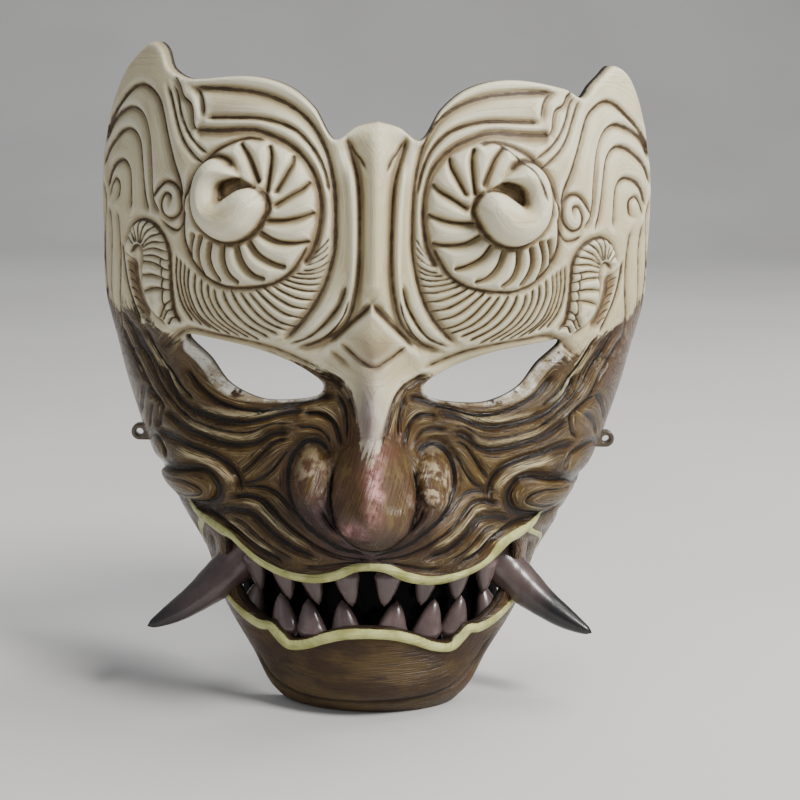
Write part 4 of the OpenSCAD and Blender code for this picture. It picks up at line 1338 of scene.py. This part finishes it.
def build_pads():
    """Felt pads behind the forehead and the cheeks."""
    felt = felt_material()
    low, high = box_mm("forehead_pad")
    radius, thick, turn_max = FOREHEAD_PAD_R, FOREHEAD_PAD_T, FOREHEAD_PAD_TURN
    middle_z, half_z = (low[2] + high[2]) / 2, (high[2] - low[2]) / 2
    axis_y = low[1] + radius

    def forehead(s, h, n):
        t, r = s / radius, radius - thick / 2 + n
        return np.stack([r * np.sin(t), axis_y - r * np.cos(t), middle_z + h], -1)

    pad_object("forehead_pad", forehead, radius * turn_max, half_z, thick, felt)
    for name, hand in (("cheek_pad_left", -1), ("cheek_pad_right", 1)):
        low, high = box_mm(name)
        centre = (low + high) / 2
        lean = hand * CHEEK_PAD_LEAN

        def cheek(s, h, n, centre=centre, lean=lean):
            return np.stack([centre[0] + s * math.cos(lean) - n * math.sin(lean),
                             centre[1] + s * math.sin(lean) + n * math.cos(lean), centre[2] + h], -1)

        pad_object(name, cheek, CHEEK_PAD_HALF, (high[2] - low[2]) / 2, CHEEK_PAD_T, felt)


build_shell()
build_mouth()
build_pads()


# ---- studio ----
def studio():
    """Pale paper sweep, three soft lamps and an even sky."""
    floor_z = cad_low.z
    back = spline([(-3.0, 0), (0.0, 0), (1.2, 0), (1.9, 0.06), (2.4, 0.5), (2.5, 1.4), (2.5, 3.0)], 12)
    wide = np.linspace(-4, 4, 9)
    points = np.array([(x, y, floor_z + z) for y, z in back for x in wide]) / MM
    sweep = make_object("studio_sweep", points, [grid_faces(len(back) - 1, len(wide) - 1)])
    p = Paint("studio_paper", 0.9)
    paper = p.mix(p.ramp(p.noise(3, 2), 0.3, 0.7), (205, 203, 200), (212, 210, 207))
    p.put(p.shader.inputs["Base Color"], paper)
    sweep.data.materials.append(p.material)

    def lamp(name, place, size, watts, tint=(1, 1, 1)):
        light = bpy.data.lights.new(name, "AREA")
        light.shape, light.size, light.energy, light.color = "DISK", size, watts, tint
        made = bpy.data.objects.new(name, light)
        made.location = place
        made.rotation_mode = "QUATERNION"
        made.rotation_quaternion = (Vector((0, -0.04, 0)) - Vector(place)).to_track_quat("-Z", "Y")
        bpy.context.scene.collection.objects.link(made)

    lamp("key", (0.95, -0.62, 0.95), 0.45, 27.5, (1, 0.985, 0.955))
    lamp("fill", (-1.1, -1.0, 0.5), 1.0, 1.2, (0.95, 0.97, 1))
    lamp("top", (0.55, 0.3, 1.4), 1.0, 18)
    world = bpy.data.worlds.new("studio")
    world.use_nodes = True
    world.node_tree.nodes["Background"].inputs[0].default_value = (0.9, 0.93, 1, 1)
    world.node_tree.nodes["Background"].inputs[1].default_value = 0.35
    bpy.context.scene.world = world


def photograph_camera():
    """Camera straight in front, 10 degrees above, rolled a little, the mask left of and above the middle."""
    elevation, roll, distance = math.radians(10), math.radians(0.9), 0.56
    target = Vector((0, -0.05, 0))
    backward = Vector((0, -math.cos(elevation), math.sin(elevation)))
    right = Vector((1, 0, 0))
    up = backward.cross(right)
    rolled_right = right * math.cos(roll) + up * math.sin(roll)
    rolled_up = up * math.cos(roll) - right * math.sin(roll)
    lens = bpy.data.cameras.new("photo_camera")
    lens.lens, lens.sensor_width = 71.6, 36
    lens.shift_x, lens.shift_y = 0.033, -0.026
    made = bpy.data.objects.new("photo_camera", lens)
    axes = Matrix((rolled_right, rolled_up, backward)).transposed()
    made.matrix_world = Matrix.Translation(target + backward * distance) @ axes.to_4x4()
    bpy.context.scene.collection.objects.link(made)
    bpy.context.scene.camera = made


studio()
photograph_camera()
